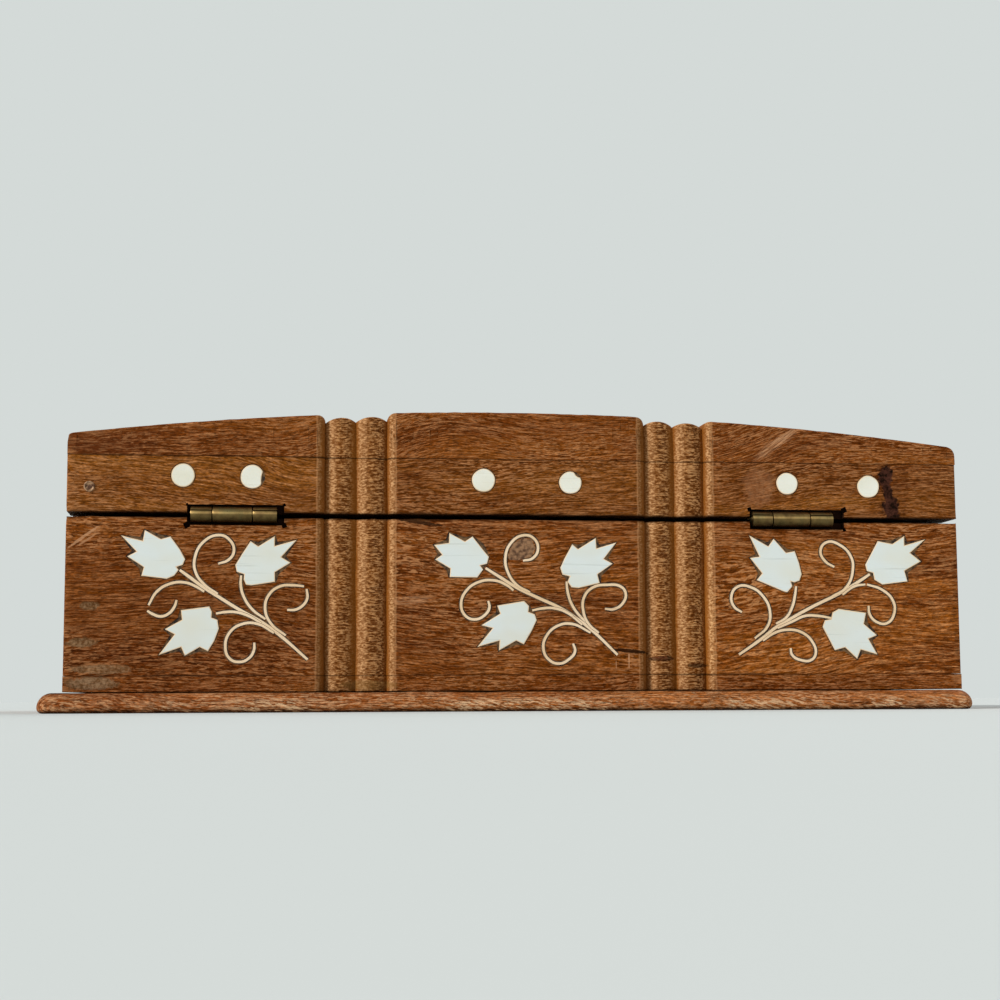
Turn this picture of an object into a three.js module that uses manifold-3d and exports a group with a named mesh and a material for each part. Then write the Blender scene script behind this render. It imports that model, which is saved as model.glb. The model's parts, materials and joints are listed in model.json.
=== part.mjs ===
import * as THREE from 'three';
import { mergeVertices } from 'three/addons/utils/BufferGeometryUtils.js';
import Module from 'manifold-3d';

const wasm = await Module();
wasm.setup();

// Driving dimensions in millimetres. X runs across the box, Y from its front to its hinged back, Z up.
// The origin is the middle of the base plate's underside.
const plate = { width: 257, depth: 156, height: 5.5, nose: 4.4, foot: 1.5 };
const body = { width: 248.5, depth: 144, offCentre: -2.25 };
const boardHeight = 4.3;
const wallThickness = 12;
const seam = { z: 53.2, gap: 1.1 };
const railTop = 69.3;
const crown = { top: 82.7, radius: 985, offCentre: 3, cornerRadius: { left: 3.6, right: 1.5 } };
const glueLine = 0.1;
const fitGap = 0.3;

// Bands of two beads between sharp grooves, which run up the front and back and over the lid
const band = { centres: [-42.5, 46.6], beadWidth: 8.5, beadRise: 1.4, groove: 2.4, edgeRadius: 2.3 };

// Velvet-covered card inside the box and the lid
const lining = { card: 1.2, pad: 2, drop: 1 };

// Small brass butt hinges. The pin lies level with the seam, just inside the back face.
const hinge = { inset: 0.4, length: 23.2, knuckleRadius: 2.25, boreRadius: 1.15 };
const pinRadius = 0.95;
const leaf = { thickness: 0.9, lift: 0.15, reach: 10.3, knuckleGap: 0.35 };
const knuckleEnds = [-11.6, -5.1, -4.9, 5.7, 5.9, 11.6];
const screw = { spacing: 14, back: 6.4, headRadius: 1.75, shankRadius: 0.8, length: 8 };
const notch = { depth: 2.65, halfHeight: 2.85 };

// Where the two hinges sit, and how far the notch for each barrel reaches to either side of it
const hinges = [
  { side: 'left', x: -75.9, notchEnds: [-15.2, 12.2] },
  { side: 'right', x: 79.75, notchEnds: [-13.5, 12.5] },
];

// White inlay: round dots on the rails, and sprigs of three leaves on a curling stem
const inlay = { depth: 1.3, stripWidth: 1.3 };
const dot = { radius: 3.15, z: 63.4, across: [-98.4, -74.7, -12.7, 11.6, 74.9, 93.5] };
const sprigZ = 29.3;
const sprigPanels = [-88.8, 2, 90.7];
const lidSprigScale = 1.45;

const bodyHalf = body.width / 2;
const backFace = body.depth / 2;
const boardTop = plate.height + boardHeight;
const wallTop = seam.z - seam.gap / 2;
const railBottom = seam.z + seam.gap / 2;

// Solids, and the meshes made from them

function solid(geometry) {
  const bare = geometry.clone();
  bare.deleteAttribute('normal');
  bare.deleteAttribute('uv');
  const merged = mergeVertices(bare, 1e-4);
  const corners = merged.index.array;
  const triangles = [];
  for (let i = 0; i < corners.length; i += 3) {
    const [a, b, c] = corners.slice(i, i + 3);
    if (a !== b && b !== c && c !== a) triangles.push(a, b, c);
  }
  return new wasm.Manifold(new wasm.Mesh({
    numProp: 3,
    vertProperties: new Float32Array(merged.attributes.position.array),
    triVerts: new Uint32Array(triangles),
  }));
}

function surface(manifold) {
  const mesh = manifold.getMesh();
  const geometry = new THREE.BufferGeometry();
  geometry.setAttribute('position', new THREE.BufferAttribute(mesh.vertProperties, 3));
  geometry.setIndex(new THREE.BufferAttribute(mesh.triVerts, 1));
  geometry.computeVertexNormals();
  return geometry;
}

function prism(points, bottom, top) {
  const shape = new THREE.Shape(points);
  return new THREE.ExtrudeGeometry(shape, { depth: top - bottom, bevelEnabled: false })
    .translate(0, 0, bottom);
}

// A section drawn in X and Z, carried along Y from -depth / 2 to depth / 2
function carried(points, depth) {
  return prism(points, -depth / 2, depth / 2).rotateX(Math.PI / 2);
}

function block(x0, x1, y0, y1, z0, z1) {
  const box = new THREE.BoxGeometry(x1 - x0, y1 - y0, z1 - z0);
  return box.translate((x0 + x1) / 2, (y0 + y1) / 2, (z0 + z1) / 2);
}

function turned(profile, segments) {
  const points = profile.map(([radius, z]) => new THREE.Vector2(radius, z));
  return new THREE.LatheGeometry(points, segments).rotateX(Math.PI / 2);
}

// Materials

function finish(color, roughness, metalness = 0) {
  return new THREE.MeshStandardMaterial({ color, roughness, metalness });
}

const rosewood = finish(0x6d3e1d, 0.55);
const plateWood = finish(0x895632, 0.55);
const brass = finish(0x4e3921, 0.45, 0.9);
const bone = finish(0xd8dcd2, 0.35);
const velvet = finish(0x7a1420, 0.95);

const boxGroup = new THREE.Group();
const lidGroup = new THREE.Group();

function place(group, name, shape, material, [x, y, z] = [0, 0, 0]) {
  const mesh = new THREE.Mesh(surface(shape), material);
  mesh.name = name;
  mesh.position.set(x, y, z);
  group.add(mesh);
}

// Fluted boards

function fluteDepth(points, centre) {
  const { beadWidth, beadRise, groove, edgeRadius } = band;
  const beadRadius = (beadWidth ** 2 / 4 + beadRise ** 2) / (2 * beadRise);
  const edgeSteps = 3;
  const beadSteps = 4;
  const half = beadWidth + edgeRadius;
  for (let i = 0; i <= edgeSteps; i++) {
    const turn = (Math.PI / 2) * (i / edgeSteps);
    points.push([centre - half + edgeRadius * Math.sin(turn), edgeRadius * (1 - Math.cos(turn))]);
  }
  for (const middle of [-beadWidth / 2, beadWidth / 2]) {
    for (let i = middle > 0 ? 1 : 0; i <= beadSteps; i++) {
      const across = beadWidth * (i / beadSteps - 0.5);
      const fall = beadRadius - Math.sqrt(beadRadius ** 2 - across ** 2);
      points.push([centre + middle + across, groove - beadRise + fall]);
    }
  }
  for (let i = edgeSteps; i >= 0; i--) {
    const turn = (Math.PI / 2) * (i / edgeSteps);
    points.push([centre + half - edgeRadius * Math.sin(turn), edgeRadius * (1 - Math.cos(turn))]);
  }
}

// Depth of the flutes below the flat panels, at each point across a board
function flutedLine() {
  const points = [[-bodyHalf, 0]];
  for (const centre of band.centres) fluteDepth(points, centre);
  points.push([bodyHalf, 0]);
  return points;
}

// Plan of a board that is fluted on its back edge, and on its front edge too if it spans the box
function boardPlan(inner, flutedFront) {
  const back = flutedLine().map(([x, depth]) => new THREE.Vector2(x, backFace - depth));
  const front = flutedFront
    ? flutedLine().map(([x, depth]) => new THREE.Vector2(x, depth - backFace))
    : [new THREE.Vector2(-bodyHalf, inner), new THREE.Vector2(bodyHalf, inner)];
  return [...front, ...back.reverse()];
}

function crownHeight(x) {
  const across = x - crown.offCentre;
  return crown.top - crown.radius + Math.sqrt(crown.radius ** 2 - across ** 2);
}

// Line of the lid's crown in X and Z, with or without the flutes that are cut down into it
function crownLine(lift, fluted) {
  const panelSteps = 3;
  const line = flutedLine();
  const top = [];
  line.forEach(([x, depth], i) => {
    const [nextX, nextDepth] = line[i + 1] ?? [x, depth];
    const steps = nextX - x > band.beadWidth ? panelSteps : 1;
    for (let k = 0; k < steps; k++) {
      const at = x + (nextX - x) * (k / steps);
      const cut = fluted ? depth + (nextDepth - depth) * (k / steps) : 0;
      top.push(new THREE.Vector2(at, crownHeight(at) + lift - cut));
    }
  });
  return top;
}

// The same line, rounded over at its two ends
function roundedCrown() {
  const line = crownLine(0, true);
  const cornerSteps = 3;
  const corner = (side, radius) => {
    const x = side * (bodyHalf - radius);
    const z = crownHeight(x) - radius;
    const arc = [];
    for (let i = 0; i <= cornerSteps; i++) {
      const turn = (Math.PI / 2) * (i / cornerSteps);
      arc.push(new THREE.Vector2(x + side * radius * Math.cos(turn), z + radius * Math.sin(turn)));
    }
    return arc;
  };
  return [
    ...corner(-1, crown.cornerRadius.left),
    ...line.slice(1, -1),
    ...corner(1, crown.cornerRadius.right).reverse(),
  ];
}

// Inlay, drawn flat in X and Y with its face at Z 0

const leafHalf = [[-0.6, 3.6], [6.2, 6.5], [7.4, 4.3], [12.4, 4.4], [11, 1.8]];
const leafLength = 16.4;
const leaves = [
  { notch: [-9.8, 10.2], turn: 155, size: 0.92 },
  { notch: [14, 7.4], turn: 36, size: 1.02 },
  { notch: [2.8, -2.2], turn: -146, size: 1.02 },
];
const stem = [[-10.6, 10.6], [-3, 6], [3, 2.8], [9.8, -0.3], [15.4, -3.4], [21.6, -8.2], [28.4, -14.6]];
const leafStems = [
  [[13.6, 8], [13.6, 1.8], [15.6, -1.9], [18.2, -4.8]],
  [[2, -2.2], [8.8, -1.6], [13, -2.8], [16.6, -4.8]],
];
const curls = [
  [[3.2, 2.6], [-1.6, 5.8], [-3.8, 11], [-2.6, 15.8], [1.8, 18.6], [5.2, 16.6], [4.6, 13], [1.2, 11.4]],
  [[0.2, 3.8], [-5.2, 6.4], [-10.8, 6], [-14.8, 2.6], [-15.6, -1.6], [-12.8, -4.2], [-9.4, -2.4]],
  [[22.6, -8.6], [18.9, -4.2], [18.4, -0.4], [20.6, 3.2], [24.8, 5.2], [28.8, 4.2], [29.6, 1], [27.6, -1.2]],
  [[21.4, -8.4], [16.4, -5.7], [12, -6.1], [8.6, -9.2], [7.5, -13], [9.6, -16], [12.8, -16], [15.2, -13.2]],
];

function outward(points, distance) {
  return points.map((point, i) => {
    const before = points[(i + points.length - 1) % points.length];
    const after = points[(i + 1) % points.length];
    const a = new THREE.Vector2().subVectors(point, before).normalize();
    const b = new THREE.Vector2().subVectors(after, point).normalize();
    const normal = new THREE.Vector2(a.y + b.y, -a.x - b.x).normalize();
    const reach = distance / Math.max(0.4, normal.dot(new THREE.Vector2(a.y, -a.x)));
    return point.clone().addScaledVector(normal, reach);
  });
}

function leafOutline({ notch: [x, y], turn, size }, grow) {
  const lower = leafHalf.map(([u, v]) => [u, -v]);
  const outline = [[0, 0], ...lower, [leafLength, 0], ...leafHalf.toReversed()];
  const origin = new THREE.Vector2();
  const points = outline.map(([u, v]) => new THREE.Vector2(u * size, v * size)
    .rotateAround(origin, THREE.MathUtils.degToRad(turn)).add(new THREE.Vector2(x, y)));
  return outward(points, grow);
}

function stripOutline(route, steps, width, grow) {
  const curve = new THREE.SplineCurve(route.map(([x, y]) => new THREE.Vector2(x, y)));
  const left = [];
  const right = [];
  for (let i = 0; i <= steps; i++) {
    const tangent = curve.getTangent(i / steps);
    const side = new THREE.Vector2(-tangent.y, tangent.x).multiplyScalar(width / 2 + grow);
    const end = { 0: -grow, [steps]: grow }[i] ?? 0;
    const point = curve.getPoint(i / steps).addScaledVector(tangent, end);
    left.push(point.clone().add(side));
    right.push(point.clone().sub(side));
  }
  return [...right, ...left.reverse()];
}

// A whole sprig as one solid from Z -depth to Z 0, grown all round when it is the cutter of its pocket
function sprig({ scale = 1, mirrored = false, grow = 0, depth = inlay.depth, above = 0 }) {
  const spread = grow / scale;
  const width = inlay.stripWidth / Math.sqrt(scale);
  const outlines = leaves.map((one) => leafOutline(one, spread));
  outlines.push(stripOutline(stem, 5, width, spread));
  for (const route of leafStems) outlines.push(stripOutline(route, 3, width, spread));
  for (const route of curls) outlines.push(stripOutline(route, 6, width, spread));
  const scaled = outlines.map((points) => points.map((point) => point.multiplyScalar(scale)));
  const whole = wasm.Manifold.union(scaled.map((points) => solid(prism(points, -depth, above))));
  return mirrored ? whole.mirror([1, 0, 0]) : whole;
}

function roundDot({ grow = 0, depth = inlay.depth, above = 0 }) {
  const disc = new THREE.CylinderGeometry(dot.radius + grow, dot.radius + grow, depth + above, 14);
  return solid(disc.rotateX(Math.PI / 2).translate(0, 0, (above - depth) / 2));
}

// Cuts the pockets in a board, and beds each piece of inlay in its own
function inlaid(board, group, pieces) {
  for (const { name, make, turn, at } of pieces) {
    const set = (shape) => shape.rotate(turn).translate(at);
    board = board.subtract(set(make({ grow: fitGap, depth: inlay.depth + fitGap, above: 1 })));
    place(group, name, set(make({})), bone);
  }
  return board;
}

const faces = {
  back: { turn: [90, 0, 180], at: (across, z) => [across, backFace, z] },
  front: { turn: [90, 0, 0], at: (across, z) => [across, -backFace, z] },
};

function sprigsOn(side, acrosses, mirroredAt) {
  const { turn, at } = faces[side];
  return acrosses.map((across, i) => ({
    name: `${side}_sprig_${i + 1}`,
    make: (options) => sprig({ ...options, mirrored: i === mirroredAt }),
    turn,
    at: at(across, sprigZ),
  }));
}

function dotsOn(side, acrosses) {
  const { turn, at } = faces[side];
  return acrosses.map((across, i) => ({
    name: `${side}_dot_${i + 1}`,
    make: roundDot,
    turn,
    at: at(across, dot.z),
  }));
}

// Hinges, drawn about the pin with the leaves towards -Y

function tube(x0, x1, inner, outer) {
  const points = [[inner, x0], [outer, x0], [outer, x1], [inner, x1], [inner, x0]];
  const profile = points.map(([radius, x]) => new THREE.Vector2(radius, x));
  return solid(new THREE.LatheGeometry(profile, 14).rotateZ(-Math.PI / 2));
}

const screwX = [-screw.spacing / 2, screw.spacing / 2];
const leafOuter = leaf.lift + leaf.thickness;

function boxLeaf(knuckles) {
  const edge = -(hinge.knuckleRadius + leaf.knuckleGap);
  const half = hinge.length / 2;
  const root = -(hinge.boreRadius + 0.5);
  let part = solid(block(-half, half, -leaf.reach, edge, -leafOuter, -leaf.lift));
  for (const [x0, x1] of knuckles) {
    const tongue = solid(block(x0, x1, edge - 1, root, -leafOuter, -leaf.lift));
    part = part.add(tongue).add(tube(x0, x1, hinge.boreRadius, hinge.knuckleRadius));
  }
  const countersink = [[0, -1.4], [1.1, -1.4], [1.1, -leafOuter], [2.2, 0], [0, 0]];
  for (const x of screwX) {
    part = part.subtract(solid(turned(countersink, 8)).translate([x, -screw.back, 0]));
  }
  return part;
}

function countersunkScrew() {
  const { headRadius, shankRadius, length } = screw;
  const face = -leaf.lift - 0.05;
  const point = [[0, face - length], [shankRadius, face - length + 1.2]];
  const head = [[shankRadius, face - 0.95], [headRadius, face], [0, face]];
  return solid(turned([...point, ...head], 8));
}

// What is cut from a board at a hinge: the notch for its barrel, the bed of its leaf and two screw holes
function hingeSeat(notchEnds) {
  const { depth, halfHeight } = notch;
  const bedHalf = hinge.length / 2 + fitGap;
  let seat = solid(block(...notchEnds, -depth, 4, -halfHeight, 1));
  seat = seat.add(solid(block(-bedHalf, bedHalf, -leaf.reach - fitGap, 0, -leafOuter - fitGap, 1)));
  const bore = [[0, -screw.length - 1], [1.1, -screw.length - 1], [1.1, 0], [0, 0]];
  for (const x of screwX) seat = seat.add(solid(turned(bore, 8)).translate([x, -screw.back, 0]));
  return seat;
}

// The box

const flip = (shape) => shape.mirror([0, 0, 1]);
const hingeAt = (x) => [x, backFace - hinge.inset, seam.z];

// The plate's section, with a long slope rounded down to a small foot at each edge
function rounded(width, length) {
  const { height, nose, foot } = plate;
  const quarter = Math.PI / 2;
  const section = new THREE.Shape();
  section.absellipse(width / 2 - nose, foot, nose, height - foot, 0, quarter, false);
  section.absellipse(nose - width / 2, foot, nose, height - foot, quarter, 2 * quarter, false);
  section.absarc(foot - width / 2, foot, foot, 2 * quarter, 3 * quarter, false);
  section.absarc(width / 2 - foot, foot, foot, 3 * quarter, 4 * quarter, false);
  return new THREE.ExtrudeGeometry(section, { depth: length, bevelEnabled: false, curveSegments: 6 })
    .translate(0, 0, -length / 2).rotateX(Math.PI / 2);
}

function basePlate() {
  const endsRounded = solid(rounded(plate.width, plate.depth));
  const sidesRounded = solid(rounded(plate.depth, plate.width).rotateZ(Math.PI / 2));
  return endsRounded.intersect(sidesRounded);
}

function rectangle(halfX, halfY) {
  return [[-1, -1], [1, -1], [1, 1], [-1, 1]].map(([x, y]) => new THREE.Vector2(x * halfX, y * halfY));
}

function ring(halfX, halfY, thickness, bottom, top) {
  const shape = new THREE.Shape(rectangle(halfX, halfY));
  shape.holes.push(new THREE.Path(rectangle(halfX - thickness, halfY - thickness).reverse()));
  return new THREE.ExtrudeGeometry(shape, { depth: top - bottom, bevelEnabled: false })
    .translate(0, 0, bottom);
}

const innerX = bodyHalf - wallThickness;
const innerY = backFace - wallThickness;

function longBoard(bottom, top) {
  return solid(prism(boardPlan(innerY, false), bottom, top));
}

function shortBoard(side, bottom, top) {
  const ends = side < 0 ? [-bodyHalf, -innerX] : [innerX, bodyHalf];
  return solid(block(...ends, glueLine - innerY, innerY - glueLine, bottom, top));
}

const wallBottom = boardTop + glueLine;
place(boxGroup, 'base_plate', basePlate(), plateWood, [-body.offCentre, 0, 0]);
const bottomBoard = prism(boardPlan(0, true), plate.height + glueLine, boardTop);
place(boxGroup, 'bottom_board', solid(bottomBoard), rosewood);

let backWall = longBoard(wallBottom, wallTop);
const frontWall = backWall.mirror([0, 1, 0]);
for (const { x, notchEnds } of hinges) {
  backWall = backWall.subtract(hingeSeat(notchEnds).translate(hingeAt(x)));
}
place(boxGroup, 'back_wall', inlaid(backWall, boxGroup, sprigsOn('back', sprigPanels, 0)), rosewood);
place(boxGroup, 'front_wall', inlaid(frontWall, boxGroup, sprigsOn('front', sprigPanels, 2)), rosewood);
for (const [side, name] of [[-1, 'left'], [1, 'right']]) {
  place(boxGroup, `${name}_wall`, shortBoard(side, wallBottom, wallTop), rosewood);
}

const padTop = boardTop + fitGap + lining.pad;
const padX = innerX - fitGap;
const padY = innerY - fitGap;
place(boxGroup, 'floor_lining', solid(block(-padX, padX, -padY, padY, boardTop + fitGap, padTop)), velvet);
const wallLining = ring(padX, padY, lining.card, padTop + fitGap, wallTop - lining.drop);
place(boxGroup, 'wall_lining', solid(wallLining), velvet);

// The lid

const railFoot = railTop - glueLine / 2;
let backRail = longBoard(railBottom, railFoot);
const frontRail = backRail.mirror([0, 1, 0]);
for (const { x, notchEnds } of hinges) {
  backRail = backRail.subtract(flip(hingeSeat(notchEnds)).translate(hingeAt(x)));
}
place(lidGroup, 'lid_back_rail', inlaid(backRail, lidGroup, dotsOn('back', dot.across)), rosewood);
place(lidGroup, 'lid_front_rail', inlaid(frontRail, lidGroup, dotsOn('front', dot.across)), rosewood);
for (const [side, name] of [[-1, 'left'], [1, 'right']]) {
  place(lidGroup, `lid_${name}_rail`, shortBoard(side, railBottom, railFoot), rosewood);
}

const topBottom = railTop + glueLine / 2;

// The slice of the lid between two surfaces that follow its crown
function crownLayer(low, high) {
  return solid(carried([...crownLine(low, false), ...crownLine(high, false).reverse()], body.depth));
}

function lidTop() {
  const under = [new THREE.Vector2(-bodyHalf, topBottom), new THREE.Vector2(bodyHalf, topBottom)];
  const arched = solid(carried([...under, ...roundedCrown().reverse()], body.depth));
  let board = arched.intersect(solid(prism(boardPlan(0, true), railTop, crown.top + 1)));
  const pocketLayer = crownLayer(-inlay.depth - fitGap, 1);
  const inlayLayer = crownLayer(-inlay.depth, 0);
  sprigPanels.forEach((x, i) => {
    const tall = { scale: lidSprigScale, depth: 0, above: crown.top + 1, mirrored: i === 0 };
    const set = (shape) => shape.rotate([0, 0, 90]).translate([x, 0, 0]);
    board = board.subtract(set(sprig({ ...tall, grow: fitGap })).intersect(pocketLayer));
    place(lidGroup, `lid_sprig_${i + 1}`, set(sprig(tall)).intersect(inlayLayer), bone);
  });
  return board;
}

place(lidGroup, 'lid_top', lidTop(), rosewood);

const lidPadBottom = railTop - fitGap - lining.card;
const lidPad = block(-padX, padX, -padY, padY, lidPadBottom, railTop - fitGap);
place(lidGroup, 'lid_lining', solid(lidPad), velvet);
const rimLining = ring(padX, padY, lining.card, railBottom + lining.drop, lidPadBottom - fitGap);
place(lidGroup, 'lid_rim_lining', solid(rimLining), velvet);

// The hinges: the box leaf has the middle knuckle, and the lid leaf the outer two

const [end0, end1, mid0, mid1, end2, end3] = knuckleEnds;
for (const { side, x } of hinges) {
  const at = hingeAt(x);
  place(boxGroup, `${side}_hinge_box_leaf`, boxLeaf([[mid0, mid1]]), brass, at);
  place(lidGroup, `${side}_hinge_lid_leaf`, flip(boxLeaf([[end0, end1], [end2, end3]])), brass, at);
  const pin = new THREE.CylinderGeometry(pinRadius, pinRadius, hinge.length, 10).rotateZ(Math.PI / 2);
  place(boxGroup, `${side}_hinge_pin`, solid(pin), brass, at);
  screwX.forEach((offset, i) => {
    const head = [at[0] + offset, at[1] - screw.back, at[2]];
    place(boxGroup, `${side}_hinge_box_screw_${i + 1}`, countersunkScrew(), brass, head);
    place(lidGroup, `${side}_hinge_lid_screw_${i + 1}`, flip(countersunkScrew()), brass, head);
  });
}

const jewelryBox = new THREE.Group();
jewelryBox.add(boxGroup, lidGroup);
jewelryBox.position.x = body.offCentre;

export default jewelryBox;
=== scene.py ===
import json
import math
import random
import bmesh
import bpy
from mathutils import Matrix, Vector

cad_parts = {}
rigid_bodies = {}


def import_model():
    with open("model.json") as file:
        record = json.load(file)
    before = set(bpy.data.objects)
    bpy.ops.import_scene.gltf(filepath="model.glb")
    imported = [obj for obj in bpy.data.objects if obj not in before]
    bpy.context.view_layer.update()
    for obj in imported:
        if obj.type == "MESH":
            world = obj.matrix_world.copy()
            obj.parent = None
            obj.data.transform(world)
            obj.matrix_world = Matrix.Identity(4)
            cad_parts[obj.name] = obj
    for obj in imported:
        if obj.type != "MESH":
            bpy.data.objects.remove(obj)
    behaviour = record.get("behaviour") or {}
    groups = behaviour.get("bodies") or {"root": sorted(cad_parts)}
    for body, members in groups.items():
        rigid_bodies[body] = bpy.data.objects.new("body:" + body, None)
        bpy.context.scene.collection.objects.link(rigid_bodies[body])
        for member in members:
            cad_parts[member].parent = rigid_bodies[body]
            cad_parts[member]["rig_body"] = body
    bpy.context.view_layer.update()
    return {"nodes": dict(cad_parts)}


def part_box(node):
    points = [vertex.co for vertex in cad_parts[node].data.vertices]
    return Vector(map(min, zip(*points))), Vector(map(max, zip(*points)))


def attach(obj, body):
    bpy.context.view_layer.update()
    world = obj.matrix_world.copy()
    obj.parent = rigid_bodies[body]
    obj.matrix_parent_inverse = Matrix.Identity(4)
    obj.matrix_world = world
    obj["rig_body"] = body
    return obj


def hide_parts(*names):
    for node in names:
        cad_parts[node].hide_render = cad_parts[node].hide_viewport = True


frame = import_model()
MM = 0.001

# The table, the window light and the camera. The box is seen square from behind and from just above the
# table, so the camera looks slightly up at the hinges. Its place comes from the back's straight edges.

def srgb(red, green, blue):
    """A colour as it is seen on a screen, from 0 to 255, as the numbers that a shader takes."""
    shares = [part / 255 for part in (red, green, blue)]
    return (*[c / 12.92 if c <= 0.04045 else ((c + 0.055) / 1.055) ** 2.4 for c in shares], 1)


def feed(node, inputs):
    """Gives inputs of a node, by name or number, a value or the socket that feeds them."""
    for key, value in inputs.items():
        if isinstance(value, bpy.types.NodeSocket):
            node.id_data.links.new(value, node.inputs[key])
        else:
            node.inputs[key].default_value = value
    return node


def add_node(kind, inputs, tree=None, **settings):
    """Adds a shader node to a tree, or else to the one that its inputs come from."""
    if tree is None:
        tree = next(value.id_data for value in inputs.values() if isinstance(value, bpy.types.NodeSocket))
    node = tree.nodes.new("ShaderNode" + kind)
    for key, value in settings.items():
        setattr(node, key, value)
    return feed(node, inputs)


def noise(place, scale, detail=3.0, roughness=0.5, distortion=0.0):
    return add_node("TexNoise", {"Vector": place, "Scale": scale, "Detail": detail, "Roughness": roughness,
                                 "Distortion": distortion}).outputs[0]


def mix(factor, under, over, how="MIX"):
    return add_node("Mix", {0: factor, 6: under, 7: over}, data_type="RGBA", blend_type=how).outputs[2]


def new_finish(name):
    """A material, its shader and the place of each point in the object."""
    finish = bpy.data.materials.new(name)
    finish.use_nodes = True
    place = add_node("TexCoord", {}, finish.node_tree).outputs["Object"]
    return finish, finish.node_tree.nodes["Principled BSDF"], place


TABLE_SIZE = 9.0
bpy.ops.object.select_all(action="DESELECT")
bpy.ops.mesh.primitive_plane_add(size=TABLE_SIZE, location=(0, 0, -0.02 * MM))
table_top = bpy.context.object
table_top.name = "table_top"
finish, shader, place = new_finish("painted_table")
feed(shader, {"Base Color": mix(noise(place, 3.0), srgb(210, 215, 212), srgb(206, 211, 208)),
              "Roughness": 0.9, "Specular IOR Level": 0.1})
table_top.data.materials.append(finish)

world = bpy.data.worlds.new("studio")
bpy.context.scene.world = world
world.use_nodes = True
tree = world.node_tree
seen = add_node("LightPath", {}, tree).outputs["Is Camera Ray"]
soft = add_node("Background", {"Color": srgb(236, 240, 243), "Strength": 0.5}, tree)
paper = add_node("Background", {"Color": srgb(212, 218, 216), "Strength": 1.0}, tree)
either = add_node("MixShader", {0: seen, 1: soft.outputs[0], 2: paper.outputs[0]})
feed(tree.nodes["World Output"], {"Surface": either.outputs[0]})


def window(name, towards, strength, angle, colour):
    """Light from a far window of the given width, in degrees, that comes from one side of the box."""
    bpy.ops.object.light_add(type="SUN", location=Vector(towards) * 2)
    lamp = bpy.context.object
    lamp.name = name
    lamp.data.energy = strength
    lamp.data.angle = math.radians(angle)
    lamp.data.color = colour
    lamp.rotation_euler = Vector(towards).to_track_quat("Z", "Y").to_euler()


window("window_left", (0.76, 0.42, 0.5), 2.8, 14, (1.0, 0.99, 0.98))
window("window_behind", (-0.6, -0.5, 0.62), 1.0, 60, (1.0, 0.985, 0.96))

bpy.ops.object.camera_add(location=(67.63 * MM, 562.47 * MM, 3.4 * MM))
camera = bpy.context.object
camera.name = "camera"
camera.rotation_euler = tuple(math.radians(turn) for turn in (96.298, 0.249, 172.725))
camera.data.lens = 64.8
camera.data.sensor_width = 36
camera.data.clip_start = 2 * MM
bpy.context.scene.camera = camera
bpy.context.scene.view_settings.view_transform = "Standard"


# The base plate. A board of paler, redder wood than the rest, left rough from the plane, with its
# edge rounded over all round. It is glued and pinned under the bottom board and stands out on every side.

def sawn_board(name, low, high):
    """A board sawn to its size, with its place in its mesh."""
    bpy.ops.object.select_all(action="DESELECT")
    bpy.ops.mesh.primitive_cube_add(size=1, location=(low + high) / 2)
    board = bpy.context.object
    board.name = board.data.name = name
    board.scale = high - low
    bpy.ops.object.transform_apply()
    return board


def only(piece):
    """Selects one object and nothing else."""
    bpy.ops.object.select_all(action="DESELECT")
    piece.select_set(True)
    bpy.context.view_layer.objects.active = piece


def start_edit():
    bpy.ops.object.mode_set(mode="EDIT")


def end_edit():
    bpy.ops.object.mode_set(mode="OBJECT")


def unpicked(board, kind):
    """In edit mode, turns to points, edges or faces with none selected, and gives the mesh."""
    bpy.ops.mesh.select_mode(type=kind)
    bpy.ops.mesh.select_all(action="DESELECT")
    return bmesh.from_edit_mesh(board.data)


def pick_points(board, wanted):
    """In edit mode, selects the points whose place is wanted, and nothing else."""
    mesh = unpicked(board, "VERT")
    for point in mesh.verts:
        point.select = bool(wanted(point.co))
    mesh.select_flush_mode()
    bmesh.update_edit_mesh(board.data)


def pick_edges(board, wanted):
    """In edit mode, selects the edges whose two ends are wanted together, and nothing else."""
    mesh = unpicked(board, "EDGE")
    for edge in mesh.edges:
        if wanted(edge.verts[0].co, edge.verts[1].co):
            edge.select_set(True)
    bmesh.update_edit_mesh(board.data)


def bevel(offset, segments):
    """In edit mode, rounds what is selected, by an offset in mm."""
    bpy.ops.mesh.bevel(offset=offset * MM, segments=segments)


def divide(board, axis, pitch):
    """In edit mode, cuts across every edge that runs along an axis, so that none is longer than the pitch."""
    others = [i for i in range(3) if i != axis]
    mesh = bmesh.from_edit_mesh(board.data)
    lengths = set()
    for edge in mesh.edges:
        run = edge.verts[0].co - edge.verts[1].co
        if all(abs(run[i]) < 0.002 * MM for i in others):
            lengths.add(round(abs(run[axis]) / MM, 2))
    for length in sorted(lengths):
        cuts = int(length * MM / pitch)
        if cuts:
            pick_edges(board, lambda a, b: abs(abs((a - b)[axis]) - length * MM) < 0.006 * MM
                       and all(abs((a - b)[i]) < 0.002 * MM for i in others))
            bpy.ops.mesh.subdivide(number_cuts=cuts)


def add_modifier(board, kind, **settings):
    """Adds a modifier and applies it at once."""
    only(board)
    bpy.ops.object.modifier_add(type=kind)
    modifier = board.modifiers[-1]
    for key, value in settings.items():
        setattr(modifier, key, value)
    bpy.ops.object.modifier_apply(modifier=modifier.name)


def clouds(name, size):
    """A soft texture for wear, with lumps of a size in mm."""
    texture = bpy.data.textures.new(name, "CLOUDS")
    texture.noise_scale = size * MM
    texture.noise_depth = 2
    return texture


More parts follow.
